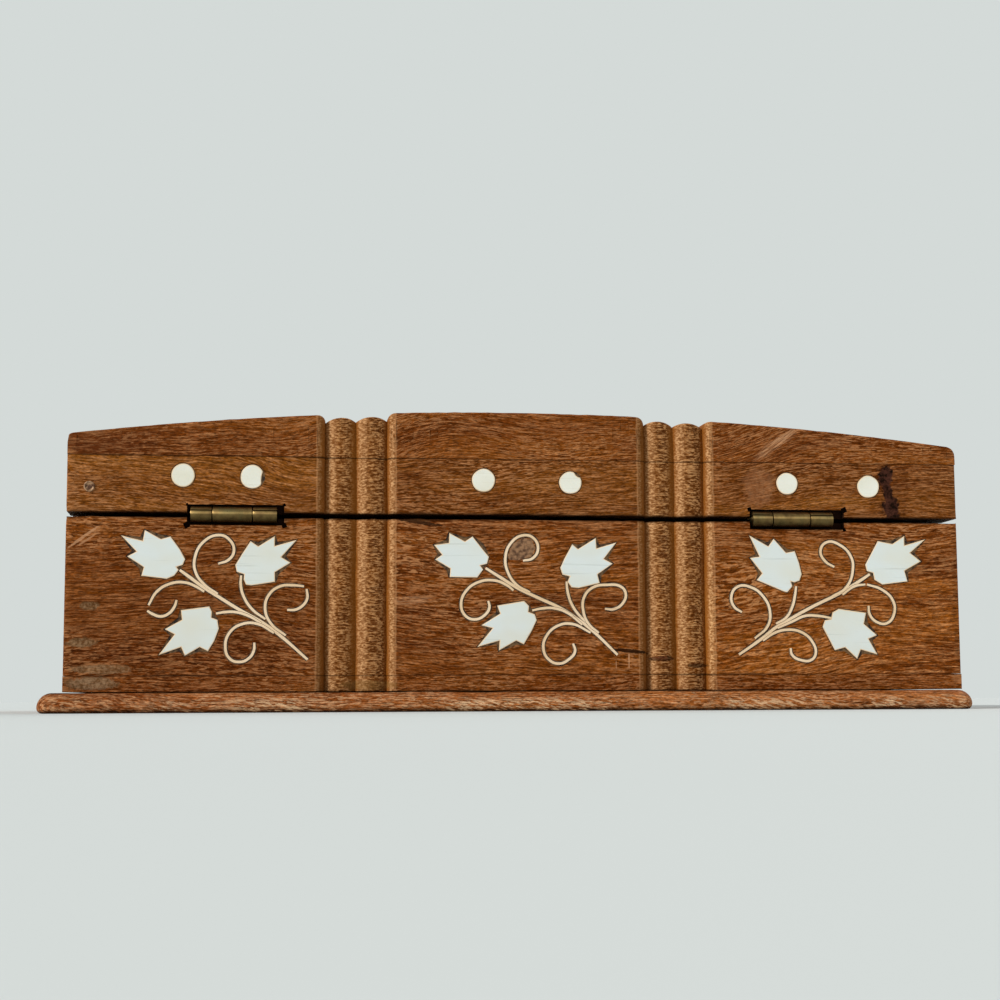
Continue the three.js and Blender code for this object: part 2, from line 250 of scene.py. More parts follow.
def wear(board, name, weight, texture, level, strength, direction="NORMAL"):
    """Presses a board in or out by a texture, up to a strength in mm, as far as each point's weight says."""
    group = board.vertex_groups.new(name=name)
    for point in board.data.vertices:
        group.add([point.index], weight(point.co), "REPLACE")
    add_modifier(board, "DISPLACE", texture=texture, texture_coords="LOCAL", mid_level=level,
                 strength=strength * MM, direction=direction, vertex_group=name)


def stand_in(piece, node, angle):
    """Smooths a finished piece below an angle in degrees and puts it in the place of its node."""
    only(piece)
    bpy.ops.object.shade_smooth_by_angle(angle=math.radians(angle))
    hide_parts(node)
    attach(piece, frame["nodes"][node]["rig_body"])


PLANE_MARKS = clouds("plane_marks", 6)
FOOT = 1.5
NEAR = 0.01 * MM

plate_low, plate_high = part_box("base_plate")
plate = sawn_board("rounded_base_plate", plate_low, plate_high)
start_edit()
pick_edges(plate, lambda a, b: abs((a - b).z) > 3 * MM)
bevel(4.1, 5)
pick_edges(plate, lambda a, b: max(a.z, b.z) < plate_low.z + NEAR)
bevel(FOOT, 4)
pick_edges(plate, lambda a, b: min(a.z, b.z) > plate_high.z - NEAR)
bevel(3.9, 9)
divide(plate, 0, 2.5 * MM)
divide(plate, 1, 3 * MM)
end_edit()
wear(plate, "worn", lambda p: 0 if p.z < 0.3 * MM else 1, PLANE_MARKS, 1, 0.35)


def grain_layer(place, run, long, across, detail=3.0, distortion=0.0, shift=0.0, roughness=0.55, tilt=0.0):
    """Noise drawn out along the grain. Long and across are how many times it changes in a metre."""
    scale = [across, across, across]
    scale[run] = long
    turn = (0, tilt, 0) if run == 0 else (tilt, 0, 0)
    turned = add_node("Mapping", {"Vector": place, "Rotation": turn})
    shifts = (shift, shift * 1.7, shift * 0.6)
    spot = add_node("Mapping", {"Vector": turned.outputs[0], "Location": shifts, "Scale": scale})
    return noise(spot.outputs[0], 1.0, detail, roughness, distortion)


def ramp(factor, *stops):
    """Colours, or shares from 0 to 1, at places along a factor."""
    node = add_node("ValToRGB", {0: factor})
    elements = node.color_ramp.elements
    while len(elements) < len(stops):
        elements.new(0.5)
    for element, (spot, colour) in zip(elements, stops):
        element.position = spot
        element.color = colour if isinstance(colour, tuple) else (colour, colour, colour, 1)
    return node.outputs[0]


def calc(one, other=0.0, how="MULTIPLY"):
    return add_node("Math", {0: one, 1: other}, operation=how).outputs[0]


def along(place, axis):
    return add_node("SeparateXYZ", {0: place}).outputs[axis]


def emboss(shader, height, distance, strength):
    """Gives a shader bumps from a height, over a distance in mm."""
    bump = add_node("Bump", {"Height": height, "Distance": distance * MM, "Strength": strength})
    feed(shader, {"Normal": bump.outputs[0]})


def blemish(x, z, long, high, turn, tone, other, strength=1.0, ragged=0.6, streaky=False, how="MIX"):
    """A stain, scratch or patch, with its place in mm from the middle, its size and its slant in degrees."""
    def stain(colour, place):
        spot = add_node("Mapping", {"Vector": place, "Location": (body_middle + x * MM, 0, z * MM),
                                    "Rotation": (0, math.radians(turn), 0),
                                    "Scale": (long / 2 * MM, 9, high / 2 * MM)}, vector_type="TEXTURE")
        far = add_node("VectorMath", {0: spot.outputs[0]}, operation="LENGTH").outputs["Value"]
        if streaky:
            rough = grain_layer(place, 0, 130, 2300, shift=x, roughness=0.6, tilt=math.radians(-turn))
        else:
            rough = noise(place, 700, 4.0, 0.7)
        edge = calc(calc(far, 0.4), calc(rough, ragged), "ADD")
        inside = ramp(edge, (0.34 + ragged / 2, strength), (0.44 + ragged / 2, 0.0))
        if streaky:
            inside = calc(inside, ramp(rough, (0.42, 0.1), (0.56, 1.0)))
        return mix(inside, colour, ramp(rough, (0.4, tone), (0.6, other)), how)
    return stain


body_low, body_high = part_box("bottom_board")
body_middle = (body_low.x + body_high.x) / 2
SEAM_Z = 53.2
SHADED = (0.7, 0.64, 0.6, 1), (0.84, 0.8, 0.76, 1)
SUNNED = (1.12, 1.16, 1.14, 1), (1.36, 1.4, 1.36, 1)


def wood(name, deep, middle, pale, scuff, seed, run=0, contrast=1.0, joints=(), slants=(), lie=2,
         fluted=False, extras=()):
    """Open-grained wood, planed and waxed: figure, fibres, pores, pale scuffs, dirt in its joints and painted
    shade at the seam; fluted boards add painted light and shade to their beads and grooves.
    """
    finish, shader, spot = new_finish(name)
    bend = calc(grain_layer(spot, run, 8, 20, 2.0, shift=seed + 3), 0.5, "SUBTRACT")
    ripple = calc(grain_layer(spot, run, 60, 150, 2.0, shift=seed + 5), 0.5, "SUBTRACT")
    sway = calc(calc(bend, 22 * MM), calc(ripple, 1.6 * MM), "ADD")
    for start, end, rise in slants:
        bounds = {1: body_middle + start * MM, 2: body_middle + end * MM, 3: 0.0, 4: rise * MM}
        slope = add_node("MapRange", {0: along(spot, 0), **bounds}, interpolation_type="SMOOTHSTEP")
        sway = calc(sway, slope.outputs[0], "ADD")
    sway = add_node("CombineXYZ", {lie: sway}).outputs[0]
    place = add_node("VectorMath", {0: spot, 1: sway}, operation="ADD").outputs[0]
    figure = grain_layer(place, run, 14, 120, 6.0, 0.6, shift=seed, roughness=0.62)
    colour = ramp(figure, (0.34, deep), (0.5, middle), (0.66, pale))
    fibres = grain_layer(place, run, 150, 2400, 4.0, shift=seed + 11, roughness=0.68)
    colour = mix(1.0, colour, ramp(fibres, (0.36, 1 - 0.5 * contrast), (0.5, 1.0)), "MULTIPLY")
    colour = mix(ramp(fibres, (0.5, 0.0), (0.64, 0.7 * contrast)), colour, scuff)
    hairs = grain_layer(place, run, 950, 3200, 2.0, shift=seed + 23)
    colour = mix(1.0, colour, ramp(hairs, (0.34, 0.62), (0.5, 1.0), (0.66, 1.5)), "MULTIPLY")
    pores = ramp(grain_layer(place, run, 380, 2700, 2.0, 0.1, shift=seed + 37), (0.6, 0.0), (0.65, 1.0))
    colour = mix(calc(pores, 0.6), colour, srgb(58, 20, 2))
    patches = ramp(grain_layer(place, run, 22, 42, 4.0, shift=seed + 41), (0.42, 0.2), (0.58, 1.0))
    flecks = ramp(grain_layer(place, run, 430, 2700, 3.0, 0.2, shift=seed + 53), (0.54, 0.0), (0.6, 1.0))
    colour = mix(calc(calc(flecks, patches), 0.85), colour, scuff)
    relief = calc(calc(fibres, calc(hairs, 0.4), "ADD"), calc(pores, -0.35), "ADD")
    relief = calc(relief, calc(flecks, 0.15), "ADD")
    note = lambda name: add_node("Attribute", {}, finish.node_tree, attribute_name=name,
                                 attribute_type="GEOMETRY")
    in_band, painted_groove_shade, on_edge = add_node("SeparateXYZ", {0: note("marks").outputs["Vector"]}).outputs
    if fluted:
        flank = note("flank").outputs["Fac"]
        grit = grain_layer(spot, run, 900, 2300, shift=seed + 71, roughness=0.6)
        raw = ramp(grit, (0.38, srgb(92, 46, 9)), (0.5, srgb(131, 77, 30)), (0.62, srgb(198, 144, 92)))
        # Painted light: bead wood is made paler where the flank mark is low, on the side of each bead that
        # faces the left window and on the lips.
        lit = ramp(flank, (0.0, 0.42), (0.45, 0.0))
        raw = mix(lit, raw, ramp(grit, (0.36, srgb(156, 102, 52)), (0.62, srgb(232, 184, 134))))
        chatter = grain_layer(spot, run, 230, 2500, 3.0, 0.2, shift=seed + 83)
        clusters = ramp(grain_layer(spot, run, 60, 120, shift=seed + 89), (0.36, 0.35), (0.52, 1.0))
        gouged = calc(flank, clusters)
        gouges = calc(ramp(chatter, (0.51, 0.0), (0.57, 1.0)), gouged)
        raw = mix(calc(gouges, 0.72), raw, srgb(70, 30, 4))
        raw = mix(calc(ramp(chatter, (0.4, 0.8), (0.47, 0.0)), gouged), raw, srgb(196, 146, 96))
        colour = mix(calc(in_band, 0.9), colour, raw)
        # Painted shade in the grooves and on the sides beside them that are turned from the window.
        colour = mix(calc(painted_groove_shade, 0.9), colour, srgb(130, 74, 20))
        cut_in = calc(calc(gouges, -0.9), calc(grit, 0.8), "ADD")
        flat = calc(1.0, painted_groove_shade, "SUBTRACT")
        relief = mix(calc(in_band, 0.8), relief, calc(cut_in, flat))
        # A pale line along each panel's edge beside the flutes: the edge rubbed pale, with a painted
        # highlight on it.
        across = calc(along(spot, 0), calc(noise(spot, 420, 4.0), 0.8 * MM), "ADD")
        for line in [centre + side * (BEAD_WIDTH + LIP) for centre in BAND_CENTRES for side in (-1, 1)]:
            off = calc(across, body_middle + (line + 0.4) * MM, "SUBTRACT")
            off = calc(calc(off, 1 / MM), how="ABSOLUTE")
            colour = mix(ramp(off, (0.1, 0.35), (0.34, 0.0)), colour, srgb(206, 152, 102))
    rubbed = ramp(grain_layer(place, run, 110, 500, shift=seed + 97), (0.5, 0.0), (0.6, 1.0))
    colour = mix(calc(calc(on_edge, rubbed), 0.75), colour, scuff)
    height = calc(along(spot, 2), calc(ripple, 1.2 * MM), "ADD")
    packed = ramp(grain_layer(spot, run, 26, 26, shift=seed + 101), (0.4, 0.15), (0.6, 1.0))
    # Dark glue joints, patchy like dirt. At the seam between lid and box the band is even and near black:
    # painted shade of the gap there.
    for level, half, strength in joints:
        away = calc(calc(calc(height, level * MM, "SUBTRACT"), 0.5 / (half * MM)), how="ABSOLUTE")
        dirt = calc(ramp(away, (0.36, strength), (0.7, 0.0)), 1.0 if level == SEAM_Z else packed)
        colour = mix(dirt, colour, srgb(34, 14, 4))
    for extra in extras:
        colour = extra(colour, spot)
    feed(shader, {"Base Color": colour, "Roughness": ramp(fibres, (0.3, 0.72), (0.7, 0.5)),
                  "Specular IOR Level": 0.1, "Specular Tint": srgb(255, 196, 140)})
    emboss(shader, relief, 0.3, 0.8)
    return finish


def torn_edge(colour, place):
    """Torn pale fibres low on the plate's edge, and a darker band right at its foot."""
    bits = grain_layer(place, 0, 300, 1700, 4.0, shift=3.0, roughness=0.65, tilt=math.radians(14))
    height = calc(along(place, 2), 1 / (6 * MM))
    height = calc(height, calc(calc(bits, 0.5, "SUBTRACT"), 0.5), "ADD")
    where = ramp(grain_layer(place, 0, 28, 28, shift=9.0), (0.46, 0.0), (0.58, 1.0))
    low_down = ramp(height, (0.06, 0.0), (0.14, 1.0), (0.45, 1.0), (0.75, 0.0))
    torn = calc(calc(where, low_down), ramp(bits, (0.5, 0.0), (0.58, 0.85)))
    colour = mix(torn, colour, srgb(236, 196, 152))
    return mix(ramp(height, (0.04, 0.9), (0.14, 0.0)), colour, srgb(34, 16, 6))


plate.data.materials.append(wood("plate_wood", srgb(128, 64, 22), srgb(150, 82, 34), srgb(168, 98, 44),
                                 srgb(222, 172, 126), 5.0, contrast=0.8, joints=[(5.6, 0.35, 0.9)],
                                 extras=[torn_edge, blemish(124, 3, 46, 14, 0, *SHADED, how="MULTIPLY")]))
stand_in(plate, "base_plate", 40)


# The bottom board. A thin rosewood board between the plate and the walls, glued under them before the
# flutes were cut, so the two bands of beads run on through its front and back edges.

BAND_CENTRES = (-42.5, 46.6)
BEAD_WIDTH = 8.5
BEAD_RISE = 1.4
GROOVE = 2.4
LIP = 2.3
BEAD_RADIUS = (BEAD_WIDTH ** 2 / 4 + BEAD_RISE ** 2) / (2 * BEAD_RISE)
WALL_TONES = srgb(92, 40, 5), srgb(116, 57, 11), srgb(133, 71, 17)
SCUFF = srgb(184, 126, 80)


def flute_depth(across):
    """Depth of the flutes below the flat panels, in mm from the middle of the body."""
    for centre in BAND_CENTRES:
        off = abs(across - centre)
        if off <= BEAD_WIDTH + 0.01:
            fall = BEAD_RADIUS - math.sqrt(BEAD_RADIUS ** 2 - (off - BEAD_WIDTH / 2) ** 2)
            return GROOVE - BEAD_RISE + fall
        if off < BEAD_WIDTH + LIP:
            return LIP * (1 - math.sqrt(1 - ((BEAD_WIDTH + LIP - off) / LIP) ** 2))
    return 0


def flute_lines():
    """Where the flutes' section is cut across the board, in mm from the middle of the body."""
    lip_steps, bead_steps = 5, 14
    half = [BEAD_WIDTH * i / bead_steps for i in range(bead_steps + 1)]
    half += [BEAD_WIDTH + LIP * (1 - math.sin(math.radians(90 * i / lip_steps))) for i in range(lip_steps)]
    return [centre + side * off for centre in BAND_CENTRES for side in (-1, 1) for off in half]


def corners(piece, spare=0.0):
    """The lowest and the highest corner of a piece, moved out by a spare length."""
    places = [point.co for point in piece.data.vertices]
    return (Vector([min(p[i] for p in places) - spare for i in range(3)]),
            Vector([max(p[i] for p in places) + spare for i in range(3)]))


def flute(board, *faces):
    """Cuts the two bands of flutes into the board's front, back or top, and divides it for its wear."""
    low, high = corners(board)
    sides = {"back": (lambda p: p.y > high.y - NEAR, Vector((0, -1, 0))),
             "front": (lambda p: p.y < low.y + NEAR, Vector((0, 1, 0))),
             "top": (lambda p: p.z > high.z - NEAR, Vector((0, 0, -1)))}
    lines = sorted({round(line, 4) for line in flute_lines()})
    start_edit()
    for across in lines:
        bpy.ops.mesh.select_all(action="SELECT")
        bpy.ops.mesh.bisect(plane_co=(body_middle + across * MM, 0, 0), plane_no=(1, 0, 0))
    for across in lines:
        x = body_middle + across * MM
        for on_face, inward in [sides[face] for face in faces]:
            pick_points(board, lambda p: abs(p.x - x) < NEAR and on_face(p))
            bpy.ops.transform.translate(value=inward * flute_depth(across) * MM)
    end_edit()


def mark(board, low, high):
    """Notes where a board is fluted, where its grooves take painted shade, where it is worn at its edges, and
    how each bead's flank turns from the window: the near side takes painted light and the far side its
    gouges.
    """
    marks, flanks = [], []
    for point in board.data.vertices:
        p = point.co
        across = (p.x - body_middle) / MM
        outside = max(p.y - high.y, low.y - p.y) / MM > -4.5 or board.get("top") and high.z - p.z < 9 * MM
        inside, groove, flank = 0.0, 0.0, 0.0
        if flute_depth(across) > 0.02 and outside:
            inside = 1.0
            for centre in BAND_CENTRES:
                # Painted shade: each groove is dark, and the dark runs on over the side next to it that is
                # turned away from the window, where shade and cast shadow fall.
                for line, wide in ((centre + BEAD_WIDTH, 2.2), (centre, 2.2), (centre - BEAD_WIDTH, 1.2)):
                    off = across - line
                    groove = max(groove, min(1.0, 1.6 - 1.6 * off / wide, 1.5 + off / 0.6))
                for middle in (centre - BEAD_WIDTH / 2, centre + BEAD_WIDTH / 2):
                    if abs(across - middle) < BEAD_WIDTH / 2:
                        flank = min(1.0, max(0.0, 0.9 - 2 * (across - middle) / (BEAD_WIDTH / 2)))
        gaps = [abs(p.z - SEAM_Z * MM) / MM - 0.55, (p.x - low.x) / MM, (high.x - p.x) / MM]
        marks += [inside, groove, max(0.0, 1 - max(0.0, min(gaps)) / 0.6)]
        flanks.append(flank)
    board.data.attributes.new("marks", "FLOAT_VECTOR", "POINT").data.foreach_set("vector", marks)
    board.data.attributes.new("flank", "FLOAT", "POINT").data.foreach_set("value", flanks)


def finish_board(board, node, seed, tones=WALL_TONES, **more):
    """Gives a shaped board its wood and puts it in the place of its node."""
    mark(board, *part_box(node))
    board.data.materials[0] = wood(board.name + "_wood", *tones, SCUFF, seed, **more)
    board.data.materials[1] = PAINTED_SHADE_CUT
    stand_in(board, node, 35)


def rosewood_board(name, low, high):
    """A sawn board with one material for its faces and one for what is cut into it later, painted dark as
    shade.
    """
    board = sawn_board(name, low, high)
    board.data.materials.append(None)
    board.data.materials.append(None)
    return board


# Painted shade: every face cut into a board later, such as the notches for the hinge barrels and the walls of
# the inlay pockets, is coloured near black, for the shade that fills these hollows.
PAINTED_SHADE_CUT, shader, place = new_finish("painted_shade_cut")
feed(shader, {"Base Color": srgb(40, 20, 8), "Roughness": 0.9, "Specular IOR Level": 0.1})
# Each list ends with the seam, whose dark band is painted shade of the gap between lid and box.
BOX_JOINTS = [(5.5, 0.3, 0.9), (9.8, 0.24, 0.55), (SEAM_Z, 0.9, 0.9)]
LID_JOINTS = [(69.3, 0.2, 0.65), (SEAM_Z, 0.9, 0.9)]

bottom = rosewood_board("fluted_bottom_board", body_low, body_high)
flute(bottom, "back", "front")
start_edit()
divide(bottom, 0, 3 * MM)
divide(bottom, 2, 1.5 * MM)
end_edit()
finish_board(bottom, "bottom_board", 2.0, fluted=True, joints=BOX_JOINTS,
             extras=[blemish(116.5, 7.9, 14, 3.6, 0, srgb(96, 70, 44), srgb(160, 130, 98), 0.8),
                     blemish(43, 7.2, 16, 2.6, 0, srgb(120, 84, 40), srgb(150, 112, 62), 0.5)])


# The white sprigs. Each is three leaves sawn from thin bone and seven to nine strips bent to a stem and its
# curls, let into a pocket in the rosewood, bedded in dark lac and rubbed flush. No two are quite alike.

INLAY_DEPTH = 1.3
CORNER_FILL = 0.9
STEM_WIDTH = 1.06
CURL_WIDTH = 0.9
SPRIG_HEIGHT = 29.3
PANELS = (-88.8, 2.0, 90.7)
# Outlines and routes as x,y in mm from the middle of the panel, x to the right and y up, as one faces them.
# A leaf goes round from its long tip, and a strip runs from its free end to its root.
SPRIGS = {
    "first": {
        "leaves": (
            "-18.9,18.1 -13.2,16.7 -12.7,19.6 -8.4,17.2 -5.9,17.9 -3.3,14.4 -1.9,11.8 -2.5,10.3 -4.2,9.7 "
            "-3.6,8.9 -4.7,7.4 -6.7,6.5 -13.4,7.3 -12.8,9.6 -17.2,12.5 -14.8,13.8",
            "27.9,17.2 22,15.5 22,18.2 17.6,15.4 15.5,16.8 13.2,13.2 11.5,10.3 11.9,8.5 13.9,7.8 "
            "13.8,6.4 14.4,5 15.9,4.8 22.2,5.8 22.1,8.4 26.3,11 23.8,12.5",
            "-2.8,-1.9 4.7,-0.9 5.4,-2.3 5.3,-3.9 6.9,-4.5 7.3,-6.9 6.1,-10.2 4.5,-12.9 2.3,-11.8 "
            "-1.6,-14.1 -2.6,-11.8 -8.5,-13.9 -4.4,-8.4 -7,-7 -2.5,-4.5",
        ),
        "strips": (
            "-3.3,8.9 -0.8,7.1 3.3,4.1 6.8,1.9 12.6,-1.7 18.9,-5.2 23.8,-8.8 31.1,-15.2",
            "6.9,10.6 9.8,11.8 11.1,14.2 9.7,17.3 7,18.4 2.9,16.5 0.7,12.3 0.9,8.4 3.3,5 6.9,2.5",
            "-4,0.8 -4.5,-0.9 -6,-2.8 -8.1,-3.6 -10.2,-3 -11.7,-2.1",
            "-11.4,-0.6 -9.2,3.1 -5.4,5.3 -1.7,5.5 1,4.5 3.3,3.1",
            "13.1,7.5 13,5.1 13.7,2.1 16.1,-1.6 19.7,-4.3",
            "6.5,-2.8 9,-2.4 11.7,-2.4 14.9,-3.3 18.6,-5.4",
            "25.5,-1.8 27.8,-1.7 29.9,-0.4 30.9,1.4 30.7,3.9",
            "30,4.6 26.8,4.9 23.6,4.6 20.6,2.3 19.6,-1.6 21.2,-5.5 25.2,-8.7",
            "16.8,-10.6 16.7,-12.7 15.4,-14.8 12.9,-15.8 10.3,-14.9 9.1,-11.8 10.2,-7.9 13.6,-5.6 "
            "17.7,-5.6 22,-8",
        ),
    },
    "second": {
        "leaves": (
            "-23.3,16.1 -19.2,16.7 -19.1,19.4 -14.8,17.1 -12.7,18.5 -10.4,15.6 -8.2,12.9 -8.7,11 "
            "-10.6,10.5 -9.8,9.4 -11.4,7.2 -19,7.3 -18.8,9.6 -23,12.1 -21.1,13.4",
            "27.5,17.1 21.9,15.4 21.7,18.3 16.7,15.2 15.1,16.5 12.9,12.6 11.7,10 12.3,8.1 14.3,7.6 "
            "13.7,6.1 14.8,4.6 16.8,4.4 22.7,5.8 22.1,8.2 26.4,11.2 23.9,12.5",
            "-11.4,-11.8 -5.3,-10.1 -5.5,-12.8 -0.7,-10.1 1.4,-11.1 3.6,-7.4 5,-4.5 4.5,-2.9 2.7,-2.2 "
            "2.9,-0.6 1.5,0.8 -5.9,-0.5 -5.1,-2.7 -10.3,-5.9 -7.2,-6.7",
        ),
        "strips": (
            "-9.1,9.8 -4.6,7 -0.2,4.3 5.6,1.6 11.9,-1.3 16,-3.9 19.9,-6.8 27.5,-14",
            "1.3,11.9 4,12.6 5.5,15.2 4.2,18.2 1.3,18.9 -2.1,16.7 -3.6,12.7 -2.9,8.6 -0.5,5.2 3.2,3.2",
            "-8.4,0.8 -8.1,-1.1 -9.5,-3.2 -12.2,-4.3 -14.8,-3.2 -15.9,-0.1 -14.5,3.5 -10.9,6 -6.6,6.4 "
            "-3.2,5.1 -1.4,3.7",
            "13.4,6.2 13.7,3.3 14.8,-0.1 17.2,-3.5 19.2,-5.3",
            "3.8,-1.8 7,-1.2 9.9,-1.2 13.3,-2.3 17.7,-5.7",
            "24.1,-1.3 26.6,-1.4 29.1,0.2 30,2.9 28.7,4.8 24.7,5.3 20.8,4.6 18.3,1.9 18,-1.8 19.4,-5.4 "
            "22.3,-8",
            "15.1,-10.9 15.6,-13.1 13.9,-15.2 11.2,-16.4 8.3,-15.3 6.8,-12.3 7.7,-8.8 10.9,-6 14.8,-5.5 "
            "20,-7.9",
        ),
    },
    "third": {
        "leaves": (
            "-25.3,19.3 -19.9,16.3 -18.3,18.4 -14.8,14.5 -12.3,15 -11.1,11.6 -10.4,8.5 -11.1,6.7 "
            "-12.6,6.2 -13.6,6.5 -13.2,5.1 -14.7,3.4 -15.8,3.7 -23.4,6.8 -21.8,8.7 -25.2,13 -22.5,13.4",
            "26,18.6 21.4,14.7 24.5,12.3 19.6,9.6 20.4,6.6 13,5.7 10.8,7 10.4,9 8.6,9.5 8.2,11.3 12,18 "
            "16.3,17.2 19.8,19.5 19.8,16.8",
            "-2.2,-4.1 -1.7,-2.2 0.1,-1.2 8,-2.3 7.3,-5.4 11,-8.6 8.5,-9.6 11,-14 6.2,-12.6 5.1,-15.2 "
            "1.7,-12 -1.3,-12.8 -4.7,-6.3 -4,-4.4",
        ),
        "strips": (
            "9.4,8.6 6.6,6.8 0.1,3 -7.1,-0.4 -14.1,-4.1 -18,-6.3 -22.5,-9.7 -28.9,-14",
            "-0.9,10.6 -3.4,12.1 -4.8,15.1 -2.9,17.6 0.9,16.8 4,13.6 4.5,9.8 2.4,4.8 -1.7,2.3",
            "8.8,-0.3 9.1,-2.8 11.3,-5 14.1,-5.2 16.2,-2.6 16,1.1 12.9,4.2 8.5,5.7",
            "8,5.7 4.9,5.2 1.3,2.8",
            "-27.9,-2.2 -30.1,-0.6 -30.8,2.3 -29,4.9 -25.2,4.8 -21.5,2 -19.8,-2 -20.5,-6 -24.3,-9.5",
            "-12.1,5.1 -12.6,2 -13.4,-0.8 -15.1,-3.6 -18.1,-5.4",
            "-2.2,-3.8 -5.9,-3.2 -9.7,-3.2 -13.5,-4.8 -17.7,-6.6",
            "-14.1,-12.2 -13.7,-14.1 -11,-15.6 -8.2,-15.5 -6.9,-13.7 -7.7,-10.6 -10.8,-7.8 -15.2,-7.1 "
            "-18.7,-8 -22,-10.1",
        ),
    },
}


def bone(name, colour, line, edge):
    """Bone or shell: nearly white, with faint hairlines and patches of a creamier tone."""
    finish, shader, place = new_finish(name)
    hair = ramp(grain_layer(place, 0, 30, 1500, 2.0, shift=4.0), (0.3, 1.0), (0.36, 0.0))
    tone = ramp(grain_layer(place, 0, 50, 90, 2.0, shift=8.0), (0.35, edge), (0.6, colour))
    feed(shader, {"Base Color": mix(calc(hair, 0.35), tone, line), "Roughness": 0.38,
                  "Subsurface Weight": 0.06, "Subsurface Radius": (0.0006, 0.0005, 0.0004)})
    emboss(shader, hair, -0.03, 0.6)
    return finish


LEAF_BONE = bone("leaf_bone", srgb(226, 233, 229), srgb(184, 190, 182), srgb(226, 227, 214))
DOT_BONE = bone("dot_bone", srgb(241, 240, 226), srgb(212, 208, 186), srgb(234, 231, 212))
STRIP_BONE = bone("strip_bone", srgb(246, 219, 184), srgb(184, 144, 100), srgb(232, 200, 158))


def lac(name, colour, other, gloss):
    """Lac or glue with sawdust in it, in two tones."""
    finish, shader, place = new_finish(name)
    spots = noise(place, 900)
    feed(shader, {"Base Color": ramp(spots, (0.38, colour), (0.62, other)), "Roughness": gloss})
    emboss(shader, spots, 0.15, 0.8)
    return finish


DARK_LAC = lac("dark_lac", srgb(32, 18, 7), srgb(110, 80, 46), 0.85)
LAC_LINE = lac("lac_line", srgb(62, 42, 22), srgb(104, 80, 52), 0.6)


def route_of(text):
    """The points that a text lists as x,y."""
    return [tuple(map(float, spot.split(","))) for spot in text.split()]


def grown(outline, by):
    """The same outline, further out all round, and further still at its inner corners."""
    area = sum(a[0] * b[1] - b[0] * a[1] for a, b in zip(outline, outline[1:] + outline[:1]))
    out = []
    for i, spot in enumerate(outline):
        before = (Vector(spot) - Vector(outline[i - 1])).normalized()
        after = (Vector(outline[(i + 1) % len(outline)]) - Vector(spot)).normalized()
        side = Vector((before.y + after.y, -before.x - after.x)).normalized() * (1 if area > 0 else -1)
        far = by / max(0.5, abs(side.dot(Vector((before.y, -before.x)))))
        inner = (before.x * after.y - before.y * after.x) * area < 0
        out.append(Vector(spot) + side * (far + CORNER_FILL * inner))
    return out


def pick_faces(piece, wanted):
    """In edit mode, selects the faces whose normal is wanted, and nothing else."""
    mesh = unpicked(piece, "FACE")
    for face in mesh.faces:
        face.select_set(wanted(face.normal))
    bmesh.update_edit_mesh(piece.data)


def sawn_leaf(outline, depth, grow=0.0, face_bone=None):
    """A flat piece sawn round its outline, with its face at z = 0."""
    outline = grown(outline, grow) if grow else outline
    bpy.ops.mesh.primitive_circle_add(vertices=len(outline), fill_type="NGON")
    leaf = bpy.context.object
    for point, spot in zip(leaf.data.vertices, outline):
        point.co = (spot[0] * MM, spot[1] * MM, 0)
    start_edit()
    bpy.ops.mesh.select_all(action="SELECT")
    bpy.ops.mesh.extrude_region_move(TRANSFORM_OT_translate={"value": (0, 0, -depth * MM)})
    bpy.ops.mesh.select_all(action="SELECT")
    bpy.ops.mesh.normals_make_consistent(inside=False)
    if not grow:
        pick_faces(leaf, lambda normal: normal.z > 0.9)
        bpy.ops.mesh.inset(thickness=0.22 * MM)
        bpy.ops.transform.translate(value=(0, 0, 0.04 * MM))
    end_edit()
    leaf.data.materials.append(face_bone or LEAF_BONE)
    leaf.data.materials.append(STRIP_BONE)
    for face in leaf.data.polygons:
        face.material_index = 0 if face.normal.z > 0.999 else 1
    return leaf


def strip_section(name, *outline):
    """The section of a bone strip, 1 mm wide, its face up."""
    bpy.ops.curve.primitive_bezier_circle_add(radius=1)
    section = bpy.context.object
    section.name = name
    section.data.dimensions = "2D"
    points = section.data.splines[0].bezier_points
    points.add(len(outline) - len(points))
    for point, spot in zip(points, outline):
        point.co = (spot[0] * MM, spot[1] * MM, 0)
        point.handle_left_type = point.handle_right_type = "VECTOR"
    section.data.resolution_u = 1
    return section


SQUARE_STRIP = strip_section("square_strip", (-0.5, 0), (0.5, 0), (0.5, -1), (-0.5, -1))
EASED_STRIP = strip_section("eased_strip", (-0.5, -0.04), (-0.38, 0), (0.38, 0), (0.5, -0.04), (0.5, -1),
                            (-0.5, -1))


